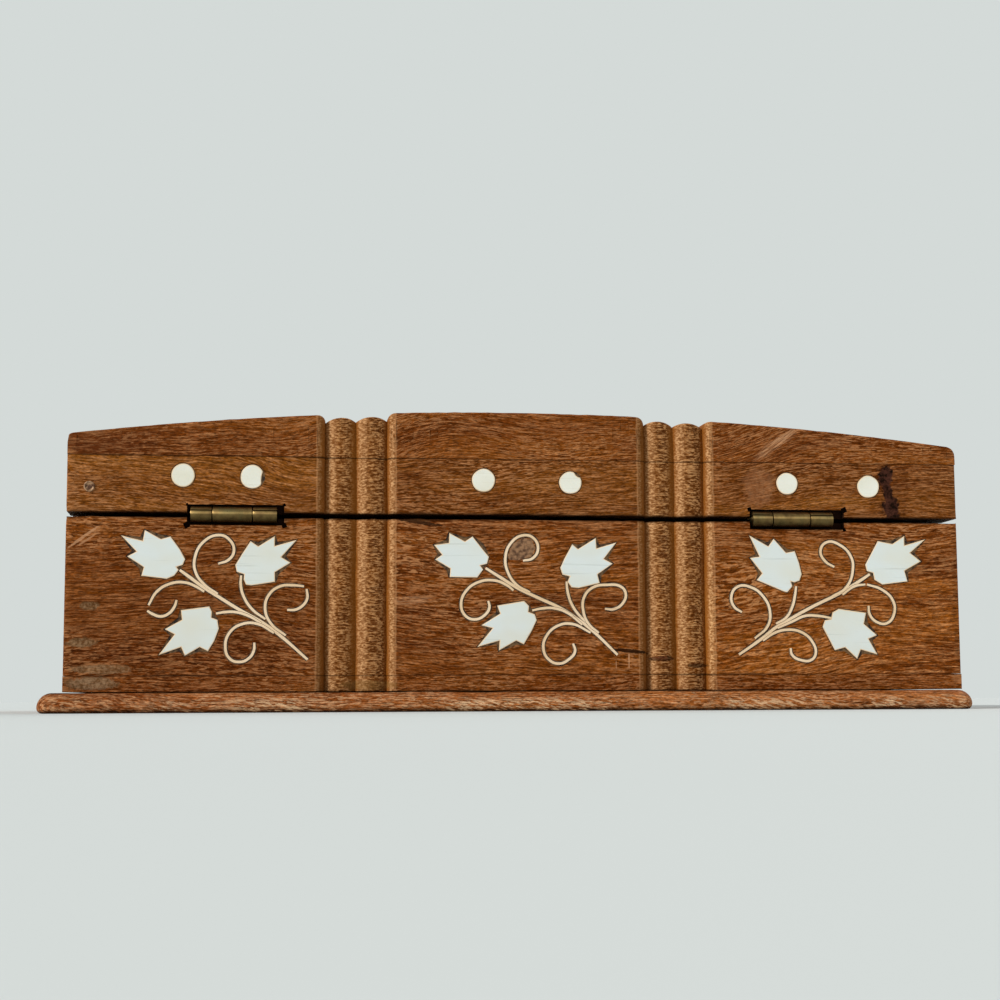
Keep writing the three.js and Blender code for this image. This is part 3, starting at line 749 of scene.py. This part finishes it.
def bent_strip(route, width, lift, grow=0.0):
    """A bone strip on edge, bent along its route, a little narrower at its two ends."""
    bpy.ops.curve.primitive_bezier_curve_add(radius=1, location=(0, 0, 0))
    strip = bpy.context.object
    strip.data.dimensions = "2D"
    spline = strip.data.splines[0]
    spline.bezier_points.add(len(route) - 2)
    wide = width + 2 * grow
    for i, (point, (x, y)) in enumerate(zip(spline.bezier_points, route)):
        point.co = (x * MM, y * MM, lift * MM)
        point.handle_left_type = point.handle_right_type = "AUTO"
        point.radius = wide * (0.78 if i in (0, len(route) - 1) else 1.0)
    strip.data.resolution_u = 6
    strip.data.bevel_mode = "OBJECT"
    strip.data.bevel_object = SQUARE_STRIP if grow else EASED_STRIP
    strip.data.use_fill_caps = True
    bpy.ops.object.convert(target="MESH")
    strip = bpy.context.object
    start_edit()
    bpy.ops.mesh.select_all(action="SELECT")
    bpy.ops.mesh.remove_doubles(threshold=0.002 * MM)
    bpy.ops.mesh.normals_make_consistent(inside=False)
    bpy.ops.mesh.faces_shade_flat()
    end_edit()
    for point in strip.data.vertices:
        if point.co.z < -0.1 * MM:
            point.co.z = -(INLAY_DEPTH + grow) * MM
    strip.data.materials.clear()
    strip.data.materials.append(STRIP_BONE)
    strip.data.materials.append(LAC_LINE)
    for face in strip.data.polygons:
        face.material_index = 1 if 0.5 < face.normal.z < 0.99 else 0
    return strip


def joined(name, pieces):
    """Several pieces made into one."""
    only(pieces[0])
    for piece in pieces:
        piece.select_set(True)
    bpy.ops.object.join()
    pieces[0].name = pieces[0].data.name = name
    return pieces[0]


def sprig(name, design, grow=0.0):
    """A whole sprig laid flat, or the cutter of its pocket when it is grown."""
    bpy.ops.object.select_all(action="DESELECT")
    leaves = [sawn_leaf(route_of(text), INLAY_DEPTH + grow, grow) for text in SPRIGS[design]["leaves"]]
    strips = [bent_strip(route_of(text), CURL_WIDTH if i else STEM_WIDTH, 0.012 * i, grow)
              for i, text in enumerate(SPRIGS[design]["strips"])]
    return joined(name, leaves + strips)


crown_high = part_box("lid_top")[1].z
CROWN_RADIUS = 985 * MM
CROWN_MIDDLE = 3 * MM


def crown_height(x):
    """Height of the lid's crowned top above the table, x from the middle of the model."""
    across = x - body_middle - CROWN_MIDDLE
    return crown_high - CROWN_RADIUS + math.sqrt(CROWN_RADIUS ** 2 - across ** 2)


FACES = {
    "back": lambda p, x, z: Vector((x - p.x, body_high.y + p.z, z + p.y)),
    "front": lambda p, x, z: Vector((x + p.x, body_low.y - p.z, z + p.y)),
    "top": lambda p, x, z: Vector((x - p.y, p.x, crown_height(x - p.y) + p.z)),
}


def lay(piece, face, across, z=0.0, scale=1.0, lift=0.0):
    """Lays a flat piece into a face of the box, across mm from the middle of the body."""
    for point in piece.data.vertices:
        p = point.co * scale
        p.z = point.co.z + lift
        point.co = FACES[face](p, body_middle + across * MM, z * MM)
    piece.data.update()
    return piece


def cut(board, cutter):
    """Cuts one solid out of a board with another, which is used up."""
    for face in cutter.data.polygons:
        face.material_index = 1
    add_modifier(board, "BOOLEAN", operation="DIFFERENCE", object=cutter, solver="EXACT",
                 material_mode="INDEX")
    bpy.data.objects.remove(cutter)


def cleaned(piece):
    """Joins the crossing parts of a piece into one solid without inner walls."""
    around = sawn_board("around", *corners(piece, MM))
    add_modifier(piece, "BOOLEAN", operation="INTERSECT", object=around, solver="EXACT", use_self=True)
    bpy.data.objects.remove(around)
    return piece


POCKET_GAP = 0.26
LAC_SINK = 0.1


def inlaid(board, node, face, across, z, flat_piece, scale=1.0):
    """Cuts the pocket of one inlay in a board, half fills it with lac and beds the white piece in it."""
    body = frame["nodes"][node]["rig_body"]
    lac_bed = cleaned(flat_piece(node + "_lac", POCKET_GAP / scale))
    pocket = lac_bed.copy()
    pocket.data = lac_bed.data.copy()
    bpy.context.collection.objects.link(pocket)
    cut(board, lay(pocket, face, across, z, scale, 0.4 * MM))
    lay(lac_bed, face, across, z, scale, -LAC_SINK * MM)
    lac_bed.data.materials.clear()
    lac_bed.data.materials.append(DARK_LAC)
    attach(lac_bed, body)
    white = lay(flat_piece(node + "_bone", 0.0), face, across, z, scale, 0.03 * MM)
    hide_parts(node)
    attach(white, body)


# The two long walls. One rosewood board each, over the full width of the box, with the flutes cut down
# their faces. The back one is notched for the hinge barrels, and its seam edge is rubbed and chipped.

EDGE_WEAR = clouds("edge_wear", 2.2)
HAND_CUT = clouds("hand_cut", 14)


def wear_seam(board, seam_z, on_face):
    """Nibbles a board's outer edge at the seam."""
    wear(board, "seam_edge", lambda p: on_face(p) * max(0.0, 1 - abs(p.z - seam_z) / (1.2 * MM)),
         EDGE_WEAR, 0.8, 0.5)


def wear_flutes(board, on_face=lambda p: True):
    """Lets the flutes waver a little along a board, as a hand-held cutter does."""
    wear(board, "flutes", lambda p: on_face(p) * min(1.0, flute_depth((p.x - body_middle) / MM)),
         HAND_CUT, 0.5, 0.7, "X")


def fluted_board(name, node, face, seam_at):
    """A long board with its flutes, eased along the edge at the seam."""
    low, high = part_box(node)
    board = rosewood_board(name, low, high)
    flute(board, face)
    face_y = high.y if face == "back" else low.y
    seam_z = high.z if seam_at == "top" else low.z
    outer = lambda p: abs(p.z - seam_z) < NEAR and abs(p.y - face_y) < (GROOVE + 0.1) * MM
    corner = lambda p: min(abs(p.x - low.x), abs(p.x - high.x)) < NEAR and abs(p.y - face_y) < NEAR
    start_edit()
    divide(board, 0, 2.2 * MM)
    divide(board, 2, 2.2 * MM)
    pick_edges(board, lambda a, b: outer(a) and outer(b) and abs((a - b).x) > NEAR)
    bevel(0.3, 2)
    pick_edges(board, lambda a, b: corner(a) and corner(b) and abs((a - b).z) > NEAR)
    bevel(0.5, 2)
    end_edit()
    on_face = lambda p: abs(p.y - face_y) < 3 * MM
    wear_seam(board, seam_z, on_face)
    wear_flutes(board, on_face)
    return board


HINGES = {"left": (-75.9, (-91.1, -63.7)), "right": (79.75, (66.2, 92.3))}
PIN_INSET = 0.4
NOTCH_DEPTH = 2.6
NOTCH_HALF = 2.8
LEAF_REACH, LEAF_THICK, LEAF_LIFT = 10.3, 0.9, 0.15
SCREW_PLACES, SCREW_BACK = (-7.0, 7.0), 6.4
EARS = {("left", True): (1.5, 1.1), ("left", False): (0.9, 0), ("right", True): (0.8, 0.6),
        ("right", False): (1.3, 1.6)}


def block(low, high):
    """A box between two corners in mm."""
    return sawn_board("block", Vector(low) * MM, Vector(high) * MM)


def rod(sides, radius, length, place=(0, 0, 0), turn=0.0):
    """A round rod with its middle at a place in mm, upright unless it is turned about Y."""
    bpy.ops.mesh.primitive_cylinder_add(vertices=sides, radius=radius * MM, depth=length * MM,
                                        location=[part * MM for part in place], rotation=(0, turn, 0))
    bpy.ops.object.transform_apply()
    return bpy.context.object


def hinge_seat(side, up):
    """What is chiselled out for a hinge leaf: the barrel's notch, its overcut corners and the leaf's bed."""
    across, notch = HINGES[side]
    middle = body_middle / MM
    back = body_high.y / MM
    pin = back - PIN_INSET
    reach = lambda z: (SEAM_Z - 1, SEAM_Z + z) if up else (SEAM_Z - z, SEAM_Z + 1)
    z0, z1 = reach(NOTCH_HALF)
    pieces = [block((middle + notch[0], back - NOTCH_DEPTH, z0), (middle + notch[1], back + 3, z1))]
    z0, z1 = reach(LEAF_LIFT + LEAF_THICK + 0.3)
    pieces.append(block((middle + across - 11.9, pin - LEAF_REACH - 0.3, z0),
                        (middle + across + 11.9, back + 3, z1)))
    corner_z = SEAM_Z + (NOTCH_HALF if up else -NOTCH_HALF)
    for x, size in [pair for pair in zip(notch, EARS[side, up]) if pair[1]]:
        ear = block((-size / 2, back - NOTCH_DEPTH * 0.7, -size / 2), (size / 2, back + 3, size / 2))
        for point in ear.data.vertices:
            turned = Matrix.Rotation(math.radians(24), 3, "Y") @ Vector((point.co.x, 0, point.co.z))
            point.co.x, point.co.z = turned.x + (middle + x) * MM, turned.z + corner_z * MM
        pieces.append(ear)
    pieces += [rod(16, 1.05, 18, (middle + across + x, pin - SCREW_BACK, SEAM_Z)) for x in SCREW_PLACES]
    return cleaned(joined("hinge_seat", pieces))


OLIVE, PALE_OLIVE, DEEP, BARE = srgb(104, 74, 44), srgb(162, 132, 98), srgb(30, 12, 4), srgb(206, 154, 112)
WALL_MARKS = [blemish(*spot) for spot in (
    (117.6, 28.5, 5.4, 2.2, 0, OLIVE, PALE_OLIVE, 0.8), (119.6, 18.7, 8, 2.6, 0, OLIVE, PALE_OLIVE, 0.8),
    (98, 24, 76, 54, 0, *SHADED, 0.8, 0.6, False, "MULTIPLY"),
    (-92, 18, 90, 60, 0, *SUNNED, 0.9, 0.6, False, "MULTIPLY"),
    (119.4, 47.1, 9.5, 0.8, 37, BARE, BARE, 0.6), (118.6, 46.2, 6, 0.6, 34, BARE, BARE, 0.45),
    (31.5, 30.2, 11, 2.4, 4, BARE, BARE, 0.5, 1.0, True), (29.4, 51.6, 12, 1.0, -8, DEEP, DEEP, 0.85),
    (-29.2, 16.3, 10, 1.2, -6, DEEP, DEEP, 0.9), (-28.7, 13.8, 0.5, 4.4, 0, BARE, BARE, 0.6),
    (-25.1, 12.6, 0.4, 2.6, 0, BARE, BARE, 0.45), (-38.3, 14.3, 7, 1.4, 0, DEEP, srgb(84, 36, 24), 0.8),
    (-48.4, 12.3, 6, 1.3, 0, DEEP, DEEP, 0.7), (114, 11.6, 18, 2.6, 0, OLIVE, PALE_OLIVE, 0.6))]
DESIGNS = {"back": ("third", "second", "first"), "front": ("second", "first", "third"),
           "top": ("third", "second", "first")}
for face, seed in (("back", 7.0), ("front", 13.0)):
    wall = fluted_board("fluted_" + face + "_wall", face + "_wall", face, "top")
    if face == "back":
        for side in HINGES:
            cut(wall, hinge_seat(side, False))
    for i, (across, design) in enumerate(zip(PANELS, DESIGNS[face])):
        inlaid(wall, f"{face}_sprig_{i + 1}", face, across, SPRIG_HEIGHT,
               lambda name, grow: sprig(name, design, grow))
    finish_board(wall, face + "_wall", seed, fluted=True, joints=BOX_JOINTS,
                 extras=WALL_MARKS if face == "back" else ())


# The two end walls. Plain rosewood boards, let in between the long walls with glue and pinned through them,
# so their grain runs from front to back and the long boards' end grain shows beside them.

def end_board(name, node, seed, seam_at):
    """A plain board across one end, eased along the edge at the seam."""
    low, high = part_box(node)
    board = rosewood_board(name, low, high)
    outer_x = low.x if low.x < body_middle - 100 * MM else high.x
    seam_z = high.z if seam_at == "top" else low.z
    outer = lambda p: abs(p.z - seam_z) < NEAR and abs(p.x - outer_x) < NEAR
    start_edit()
    divide(board, 1, 2.2 * MM)
    divide(board, 2, 2.2 * MM)
    pick_edges(board, lambda a, b: outer(a) and outer(b))
    bevel(0.45, 2)
    end_edit()
    wear_seam(board, seam_z, lambda p: abs(p.x - outer_x) < 3 * MM)
    finish_board(board, node, seed, run=1, joints=BOX_JOINTS if seam_at == "top" else LID_JOINTS)


end_board("plain_left_wall", "left_wall", 21.0, "top")
end_board("plain_right_wall", "right_wall", 25.0, "top")


# The velvet linings. Red velvet glued over thin card: one piece lies on the floor, and a strip is folded
# into the corners round the walls and stops just below the seam.

RED_VELVET, shader, place = new_finish("red_velvet")
brushed = noise(place, 28, 4.0, distortion=0.8)
tone = ramp(brushed, (0.36, srgb(92, 12, 22)), (0.5, srgb(122, 20, 32)), (0.66, srgb(150, 34, 46)))
pile = noise(place, 2600, 2.0)
tone = mix(1.0, tone, ramp(pile, (0.35, 0.72), (0.65, 1.2)), "MULTIPLY")
feed(shader, {"Base Color": tone, "Roughness": 0.95, "Specular IOR Level": 0.15, "Sheen Weight": 0.7,
              "Sheen Roughness": 0.4, "Sheen Tint": srgb(214, 96, 104)})
emboss(shader, pile, 0.25, 0.6)
NAP = clouds("nap", 9)
CARD = 1.2


def lining_sheet(name, node, face_up):
    """Flat card with its velvet turned over the edges."""
    low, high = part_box(node)
    sheet = sawn_board(name, low, high)
    start_edit()
    bpy.ops.mesh.select_all(action="SELECT")
    bevel(0.5, 3)
    divide(sheet, 0, 4 * MM)
    divide(sheet, 1, 4 * MM)
    end_edit()
    shown = high.z if face_up else low.z
    wear(sheet, "shown", lambda p: 1.0 if abs(p.z - shown) < 0.3 * MM else 0.0, NAP, 1.0, 0.45)
    sheet.data.materials.append(RED_VELVET)
    stand_in(sheet, node, 60)


def lining_strip(name, node):
    """A strip folded round the inside, one card thick."""
    low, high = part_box(node)
    strip = sawn_board(name, low, high)
    start_edit()
    pick_faces(strip, lambda normal: abs(normal.z) > 0.9)
    bpy.ops.mesh.delete(type="FACE")
    pick_edges(strip, lambda a, b: abs((a - b).z) > 1 * MM)
    bevel(1.6, 4)
    end_edit()
    add_modifier(strip, "SOLIDIFY", thickness=CARD * MM, offset=-1.0, use_even_offset=True)
    start_edit()
    pick_edges(strip, lambda a, b: min(a.z, b.z) > high.z - NEAR or max(a.z, b.z) < low.z + NEAR)
    bpy.ops.mesh.bevel(offset=0.3 * MM, segments=2, clamp_overlap=True)
    for axis in range(3):
        divide(strip, axis, 5 * MM)
    end_edit()
    strip.data.materials.append(RED_VELVET)
    stand_in(strip, node, 60)


lining_sheet("velvet_floor", "floor_lining", True)
lining_strip("velvet_walls", "wall_lining")


# The lid's four rails. They meet the walls at the seam and carry the fluted bands on. The back one is notched
# for the hinges, and there is a dark knot of bark near one end of it.

BARK = srgb(12, 5, 3), srgb(74, 42, 32)
RAIL_MARKS = [blemish(*spot) for spot in (
    (-104.5, 61, 11, 18, 0, *SHADED, 1.0, 0.6, False, "MULTIPLY"),
    (-103.7, 65.6, 4.6, 6.4, -14, *BARK, 1.0, 0.5), (-104.2, 61, 2.8, 8, 6, *BARK),
    (-105.0, 56.6, 5.0, 8.6, 10, *BARK, 1.0, 0.7),
    (-66.6, 62.4, 9, 12, 0, srgb(146, 92, 58), srgb(176, 124, 86), 0.4))]
back_rail = fluted_board("fluted_lid_back_rail", "lid_back_rail", "back", "bottom")
for side in HINGES:
    cut(back_rail, hinge_seat(side, True))
front_rail = fluted_board("fluted_lid_front_rail", "lid_front_rail", "front", "bottom")

DOTS = ((-98.4, 62.8, 3.15), (-74.7, 63.4, 3.05), (-12.7, 63.0, 3.1), (11.6, 63.4, 3.2), (74.9, 63.7, 3.2),
        (93.5, 63.9, 3.15))
CHIPS = {"back_dot_5": ((-38, 24), 0.75), "back_dot_3": ((28, 66), 0.84)}


def bone_dot(name, radius, seed, grow):
    """A disc that was sawn by hand, so it isn't quite round. Two of them have lost a chip of their rim."""
    steps = 40
    dice = random.Random(seed)
    waves = [(dice.uniform(0.004, 0.014), dice.uniform(0, 6.28), k) for k in (2, 3, 5)]
    chip, deep = CHIPS.get(name.rsplit("_", 1)[0], ((400, 401), 1))
    outline = []
    for i in range(steps):
        degrees = 360 * i / steps - 180
        turn = math.radians(degrees)
        out = radius * (1 + sum(a * math.cos(k * turn + b) for a, b, k in waves))
        if not grow and chip[0] < degrees < chip[1]:
            share = (degrees - chip[0]) / (chip[1] - chip[0])
            out *= 1 - (1 - deep) * math.sin(math.pi * share) ** 0.6
        outline.append((out * math.cos(turn), out * math.sin(turn)))
    disc = sawn_leaf(outline, INLAY_DEPTH + grow, grow, DOT_BONE)
    disc.name = disc.data.name = name
    return disc


for rail, face in ((back_rail, "back"), (front_rail, "front")):
    for i, (across, z, radius) in enumerate(DOTS):
        node = f"{face}_dot_{i + 1}"
        bpy.ops.object.select_all(action="DESELECT")
        inlaid(rail, node, face, across, z, lambda name, grow: bone_dot(name, radius, i + 40, grow))
RAIL_TONES = srgb(98, 47, 8), srgb(120, 65, 16), srgb(137, 80, 24)
finish_board(back_rail, "lid_back_rail", 31.0, RAIL_TONES, fluted=True, joints=LID_JOINTS,
             slants=[(58, 84, -5), (-88, -50, 7)], extras=RAIL_MARKS)
finish_board(front_rail, "lid_front_rail", 36.0, RAIL_TONES, fluted=True, joints=LID_JOINTS)
end_board("plain_lid_left_rail", "lid_left_rail", 43.0, "bottom")
end_board("plain_lid_right_rail", "lid_right_rail", 47.0, "bottom")


# The lid's top. One thick rosewood board, glued down on the rails, planed to a low crown across the box.
# The two bands of flutes run over it from the front to the back, and three large sprigs are let into it.

low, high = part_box("lid_top")
top_board = rosewood_board("crowned_lid_top", low, high)
top_board["top"] = True
flute(top_board, "back", "front", "top")
start_edit()
divide(top_board, 0, 2.4 * MM)
for x, offset in ((low.x, 3.6), (high.x, 1.5)):
    pick_edges(top_board, lambda a, b: all(max(abs(p.x - x), abs(p.z - high.z)) < NEAR for p in (a, b)))
    bevel(offset, 5)


def on_brow(p):
    """True on the line where the top meets the back or the front."""
    depth = flute_depth((p.x - body_middle) / MM) * MM
    fall = max(0.0, (low.x + 3.7 * MM - p.x), (p.x - high.x + 1.6 * MM))
    from_face = min(abs(p.y - high.y + depth), abs(p.y - low.y - depth))
    return abs(p.z - high.z + depth) < NEAR + fall and from_face < NEAR


def brow_share(p):
    """How near a point of the top is to its back or front edge, from 0 to 1."""
    from_face = min(abs(p.y - high.y), abs(p.y - low.y))
    return max(0.0, 1 - from_face / (2 * MM)) if p.z > high.z - 4 * MM else 0


pick_edges(top_board, lambda a, b: on_brow(a) and on_brow(b) and abs((a - b).y) < 2.5 * MM)
bevel(0.7, 3)
divide(top_board, 1, 2.6 * MM)
divide(top_board, 2, 2.6 * MM)
end_edit()
wear(top_board, "brow", brow_share, EDGE_WEAR, 1, 0.5)
wear_flutes(top_board)
for point in top_board.data.vertices:
    share = (point.co.z - low.z) / (high.z - low.z)
    point.co.z -= share * (high.z - crown_height(point.co.x))
LID_SPRIG_SCALE = 1.45
for i, (across, design) in enumerate(zip(PANELS, DESIGNS["top"])):
    inlaid(top_board, f"lid_sprig_{i + 1}", "top", across, 0, lambda name, grow: sprig(name, design, grow),
           LID_SPRIG_SCALE)
finish_board(top_board, "lid_top", 52.0, fluted=True, joints=LID_JOINTS,
             slants=[(16, 72, 15), (-80, -50, 9)],
             extras=[blemish(-72.1, 74.9, 16, 3.0, 36, BARE, BARE, 0.7, 0.9, True),
                     blemish(116, 76.5, 36, 15, 0, srgb(78, 34, 12), srgb(96, 46, 20), 0.45)])
top_board.data.materials.append(wood("lid_top_face_wood", *WALL_TONES, SCUFF, 58.0, lie=1, fluted=True))
for face in top_board.data.polygons:
    if face.normal.z > 0.75 and face.material_index == 0:
        face.material_index = 2
lining_sheet("velvet_lid", "lid_lining", False)
lining_strip("velvet_lid_rim", "lid_rim_lining")
bpy.data.objects.remove(SQUARE_STRIP)
bpy.data.objects.remove(EASED_STRIP)


# The hinges. Two small brass butt hinges, each a pair of leaves with rolled knuckles on one pin.
# The leaves lie flat in the seam, let into its two edges, and each is held by two slotted screws.

BRASS, shader, place = new_finish("aged_brass")
grime = noise(place, 520, 5.0, 0.65)
drawn = grain_layer(place, 0, 60, 3000, 2.0, shift=3.0)
spots = noise(place, 190)
tone = ramp(spots, (0.34, srgb(120, 94, 60)), (0.5, srgb(158, 130, 80)), (0.66, srgb(140, 124, 80)))
tone = mix(1.0, tone, ramp(grime, (0.35, 0.7), (0.6, 1.1)), "MULTIPLY")
# Painted highlight and shade on the hinges: the brass is darkened towards the bottom of the barrel and
# brightened in a band a little above the pin, where the window light would catch it.
height = calc(calc(along(place, 2), (SEAM_Z - 2.5) * MM, "SUBTRACT"), 1 / (5 * MM))
worn = ramp(height, (0.06, 0.08), (0.28, 0.34), (0.48, 0.66), (0.57, 2.4), (0.67, 1.0), (0.95, 0.5))
feed(shader, {"Base Color": mix(1.0, tone, worn, "MULTIPLY"), "Metallic": 1.0,
              "Roughness": ramp(grime, (0.3, 0.48), (0.7, 0.26))})
emboss(shader, calc(drawn, grime, "ADD"), 0.04, 0.6)
KNUCKLE_RADIUS, BORE_RADIUS, PIN_RADIUS = 2.25, 1.15, 0.95
KNUCKLE_GAP = 0.35
HINGE_LENGTH = 23.2
KNUCKLES = {"box": ((-4.9, 5.7),), "lid": ((-11.6, -5.1), (5.9, 11.6))}
HINGE_Y = body_high.y - PIN_INSET * MM


def rolled_knuckle(x0, x1, slit_at, slit):
    """One knuckle, rolled round the pin from a flat tongue, with a fine slit where the roll closes."""
    bpy.ops.mesh.primitive_plane_add(size=1)
    knuckle = bpy.context.object
    start = math.radians(slit_at + slit / 2)
    section = [(x, r) for r in (BORE_RADIUS, KNUCKLE_RADIUS) for x in (x0, x1)]
    for point, (x, r) in zip(knuckle.data.vertices, section):
        point.co = (x * MM, r * MM * math.cos(start), r * MM * math.sin(start))
    start_edit()
    bpy.ops.mesh.select_all(action="SELECT")
    bpy.ops.mesh.spin(steps=30, angle=math.radians(360 - slit), center=(0, 0, 0), axis=(1, 0, 0))
    bpy.ops.mesh.select_all(action="SELECT")
    bpy.ops.mesh.remove_doubles(threshold=0.001 * MM)
    bpy.ops.mesh.normals_make_consistent(inside=False)
    outer = lambda p: math.hypot(p.y, p.z) > (KNUCKLE_RADIUS - 0.01) * MM
    pick_edges(knuckle, lambda a, b: outer(a) and outer(b) and abs((a - b).x) < NEAR
               and min(abs(a.x - x0 * MM), abs(a.x - x1 * MM)) < NEAR)
    bevel(0.22, 2)
    end_edit()
    return knuckle


def hinge_leaf(side, half):
    """A leaf with its knuckles and countersunk holes, drawn about the pin and then set in its place."""
    bpy.ops.object.select_all(action="DESELECT")
    top, bottom = -LEAF_LIFT, -LEAF_LIFT - LEAF_THICK
    root = -KNUCKLE_RADIUS - KNUCKLE_GAP
    leaf = block((-HINGE_LENGTH / 2, -LEAF_REACH, bottom), (HINGE_LENGTH / 2, root, top))
    start_edit()
    bpy.ops.mesh.select_all(action="SELECT")
    bevel(0.12, 2)
    end_edit()
    parts = []
    for x0, x1 in KNUCKLES[half]:
        parts.append(block((x0, root - 0.6, bottom + 0.02), (x1, -BORE_RADIUS - 0.4, top - 0.02)))
        parts.append(rolled_knuckle(x0, x1, -38 if half == "lid" else 150, 9))
    for part in parts:
        add_modifier(leaf, "BOOLEAN", operation="UNION", object=part, solver="EXACT")
        bpy.data.objects.remove(part)
    for x in SCREW_PLACES:
        bpy.ops.mesh.primitive_cone_add(vertices=24, radius1=0.7 * MM, radius2=2.1 * MM, depth=1.4 * MM,
                                        location=(x * MM, -SCREW_BACK * MM, (top - 0.65) * MM))
        bpy.ops.object.transform_apply()
        cut(leaf, bpy.context.object)
    set_hinge_piece(leaf, side, half)
    node = f"{side}_hinge_{half}_leaf"
    finish_metal(leaf, "rolled_" + node, node)


def set_hinge_piece(piece, side, half):
    """Moves a piece drawn about the pin to its hinge. The lid's half is the box's half turned over."""
    for point in piece.data.vertices:
        if half == "lid":
            point.co.z = -point.co.z
        point.co += Vector((body_middle + HINGES[side][0] * MM, HINGE_Y, SEAM_Z * MM))
    if half == "lid":
        only(piece)
        start_edit()
        bpy.ops.mesh.select_all(action="SELECT")
        bpy.ops.mesh.flip_normals()
        end_edit()


def finish_metal(piece, name, node):
    """Gives a hinge piece its name and its brass and puts it in the place of its node."""
    piece.name = piece.data.name = name
    piece.data.materials.append(BRASS)
    stand_in(piece, node, 35)


def slotted_screw(turn):
    """A countersunk wood screw with a slotted head, pointing down from z = 0."""
    screw = rod(28, 1.75, 1, (0, 0, -0.5))
    start_edit()
    pick_faces(screw, lambda normal: normal.z < -0.9)
    bpy.ops.transform.resize(value=(0.46, 0.46, 1))
    for down, share in ((5.2, 1.0), (1.6, 0.15)):
        bpy.ops.mesh.extrude_region_move(TRANSFORM_OT_translate={"value": (0, 0, -down * MM)})
        bpy.ops.transform.resize(value=(share, share, 1))
    end_edit()
    slot = block((-2.2, -0.24, -0.5), (2.2, 0.24, 0.5))
    for point in slot.data.vertices:
        point.co = Matrix.Rotation(math.radians(turn), 3, "Z") @ point.co
    cut(screw, slot)
    return screw


for side in HINGES:
    for half in ("box", "lid"):
        hinge_leaf(side, half)
        for i, x in enumerate(SCREW_PLACES):
            screw = slotted_screw(25 + 47 * i + 31 * len(side) + (60 if half == "lid" else 0))
            for point in screw.data.vertices:
                point.co += Vector((x, -SCREW_BACK, -LEAF_LIFT - 0.05)) * MM
            set_hinge_piece(screw, side, half)
            node = f"{side}_hinge_{half}_screw_{i + 1}"
            finish_metal(screw, "slotted_" + node, node)
    pin = rod(24, PIN_RADIUS, HINGE_LENGTH, turn=math.pi / 2)
    start_edit()
    pick_edges(pin, lambda a, b: abs((a - b).x) < NEAR)
    bevel(0.35, 3)
    end_edit()
    set_hinge_piece(pin, side, "box")
    finish_metal(pin, f"peened_{side}_hinge_pin", f"{side}_hinge_pin")


# Nails and filler. The rails were nailed at the corner joints, and the small domed heads sit flush with the
# wood. A lost sliver inside one curl of the back was made good with sawdust and glue.

FILLER = lac("brown_filler", srgb(82, 50, 24), srgb(152, 112, 76), 0.8)
STEEL, shader, place = new_finish("worn_steel")
dirt = noise(place, 900, 4.0)
feed(shader, {"Base Color": ramp(dirt, (0.42, srgb(84, 50, 26)), (0.58, srgb(176, 138, 102))),
              "Metallic": 0.3, "Roughness": 0.5})


def let_in(piece, name, finish, body):
    """Names a nail or a filling, which replaces no node, and lets it ride on a body."""
    piece.name = piece.data.name = name
    piece.data.materials.clear()
    piece.data.materials.append(finish)
    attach(piece, body)


for face, turn in (("back", 1), ("front", -1)):
    bpy.ops.object.select_all(action="DESELECT")
    head = rod(20, 1.5, 1, (0, 0, -0.4))
    start_edit()
    pick_edges(head, lambda a, b: a.z > 0 and b.z > 0)
    bevel(0.3, 3)
    pick_points(head, lambda p: p.z > 0.099 * MM)
    bpy.ops.mesh.select_mode(type="FACE")
    bpy.ops.mesh.inset(thickness=0.25 * MM)
    bpy.ops.transform.translate(value=(0, 0, -0.22 * MM))
    end_edit()
    lay(head, face, 118.3 * turn, 60.6, 1.0, 0.28 * MM)
    let_in(head, face + "_rail_nail", STEEL, "lid")
CURL_INSIDE = "1.3,12.3 3.7,13 4.9,15.3 3.9,17.8 1.3,18.4 -1.8,16.4 -3.1,12.9 -2.5,12 -0.4,11.9"
bpy.ops.object.select_all(action="DESELECT")
patch = lay(sawn_leaf(route_of(CURL_INSIDE), 1.0), "back", PANELS[1], SPRIG_HEIGHT, 1.0, -0.02 * MM)
let_in(patch, "curl_filler", FILLER, "box")
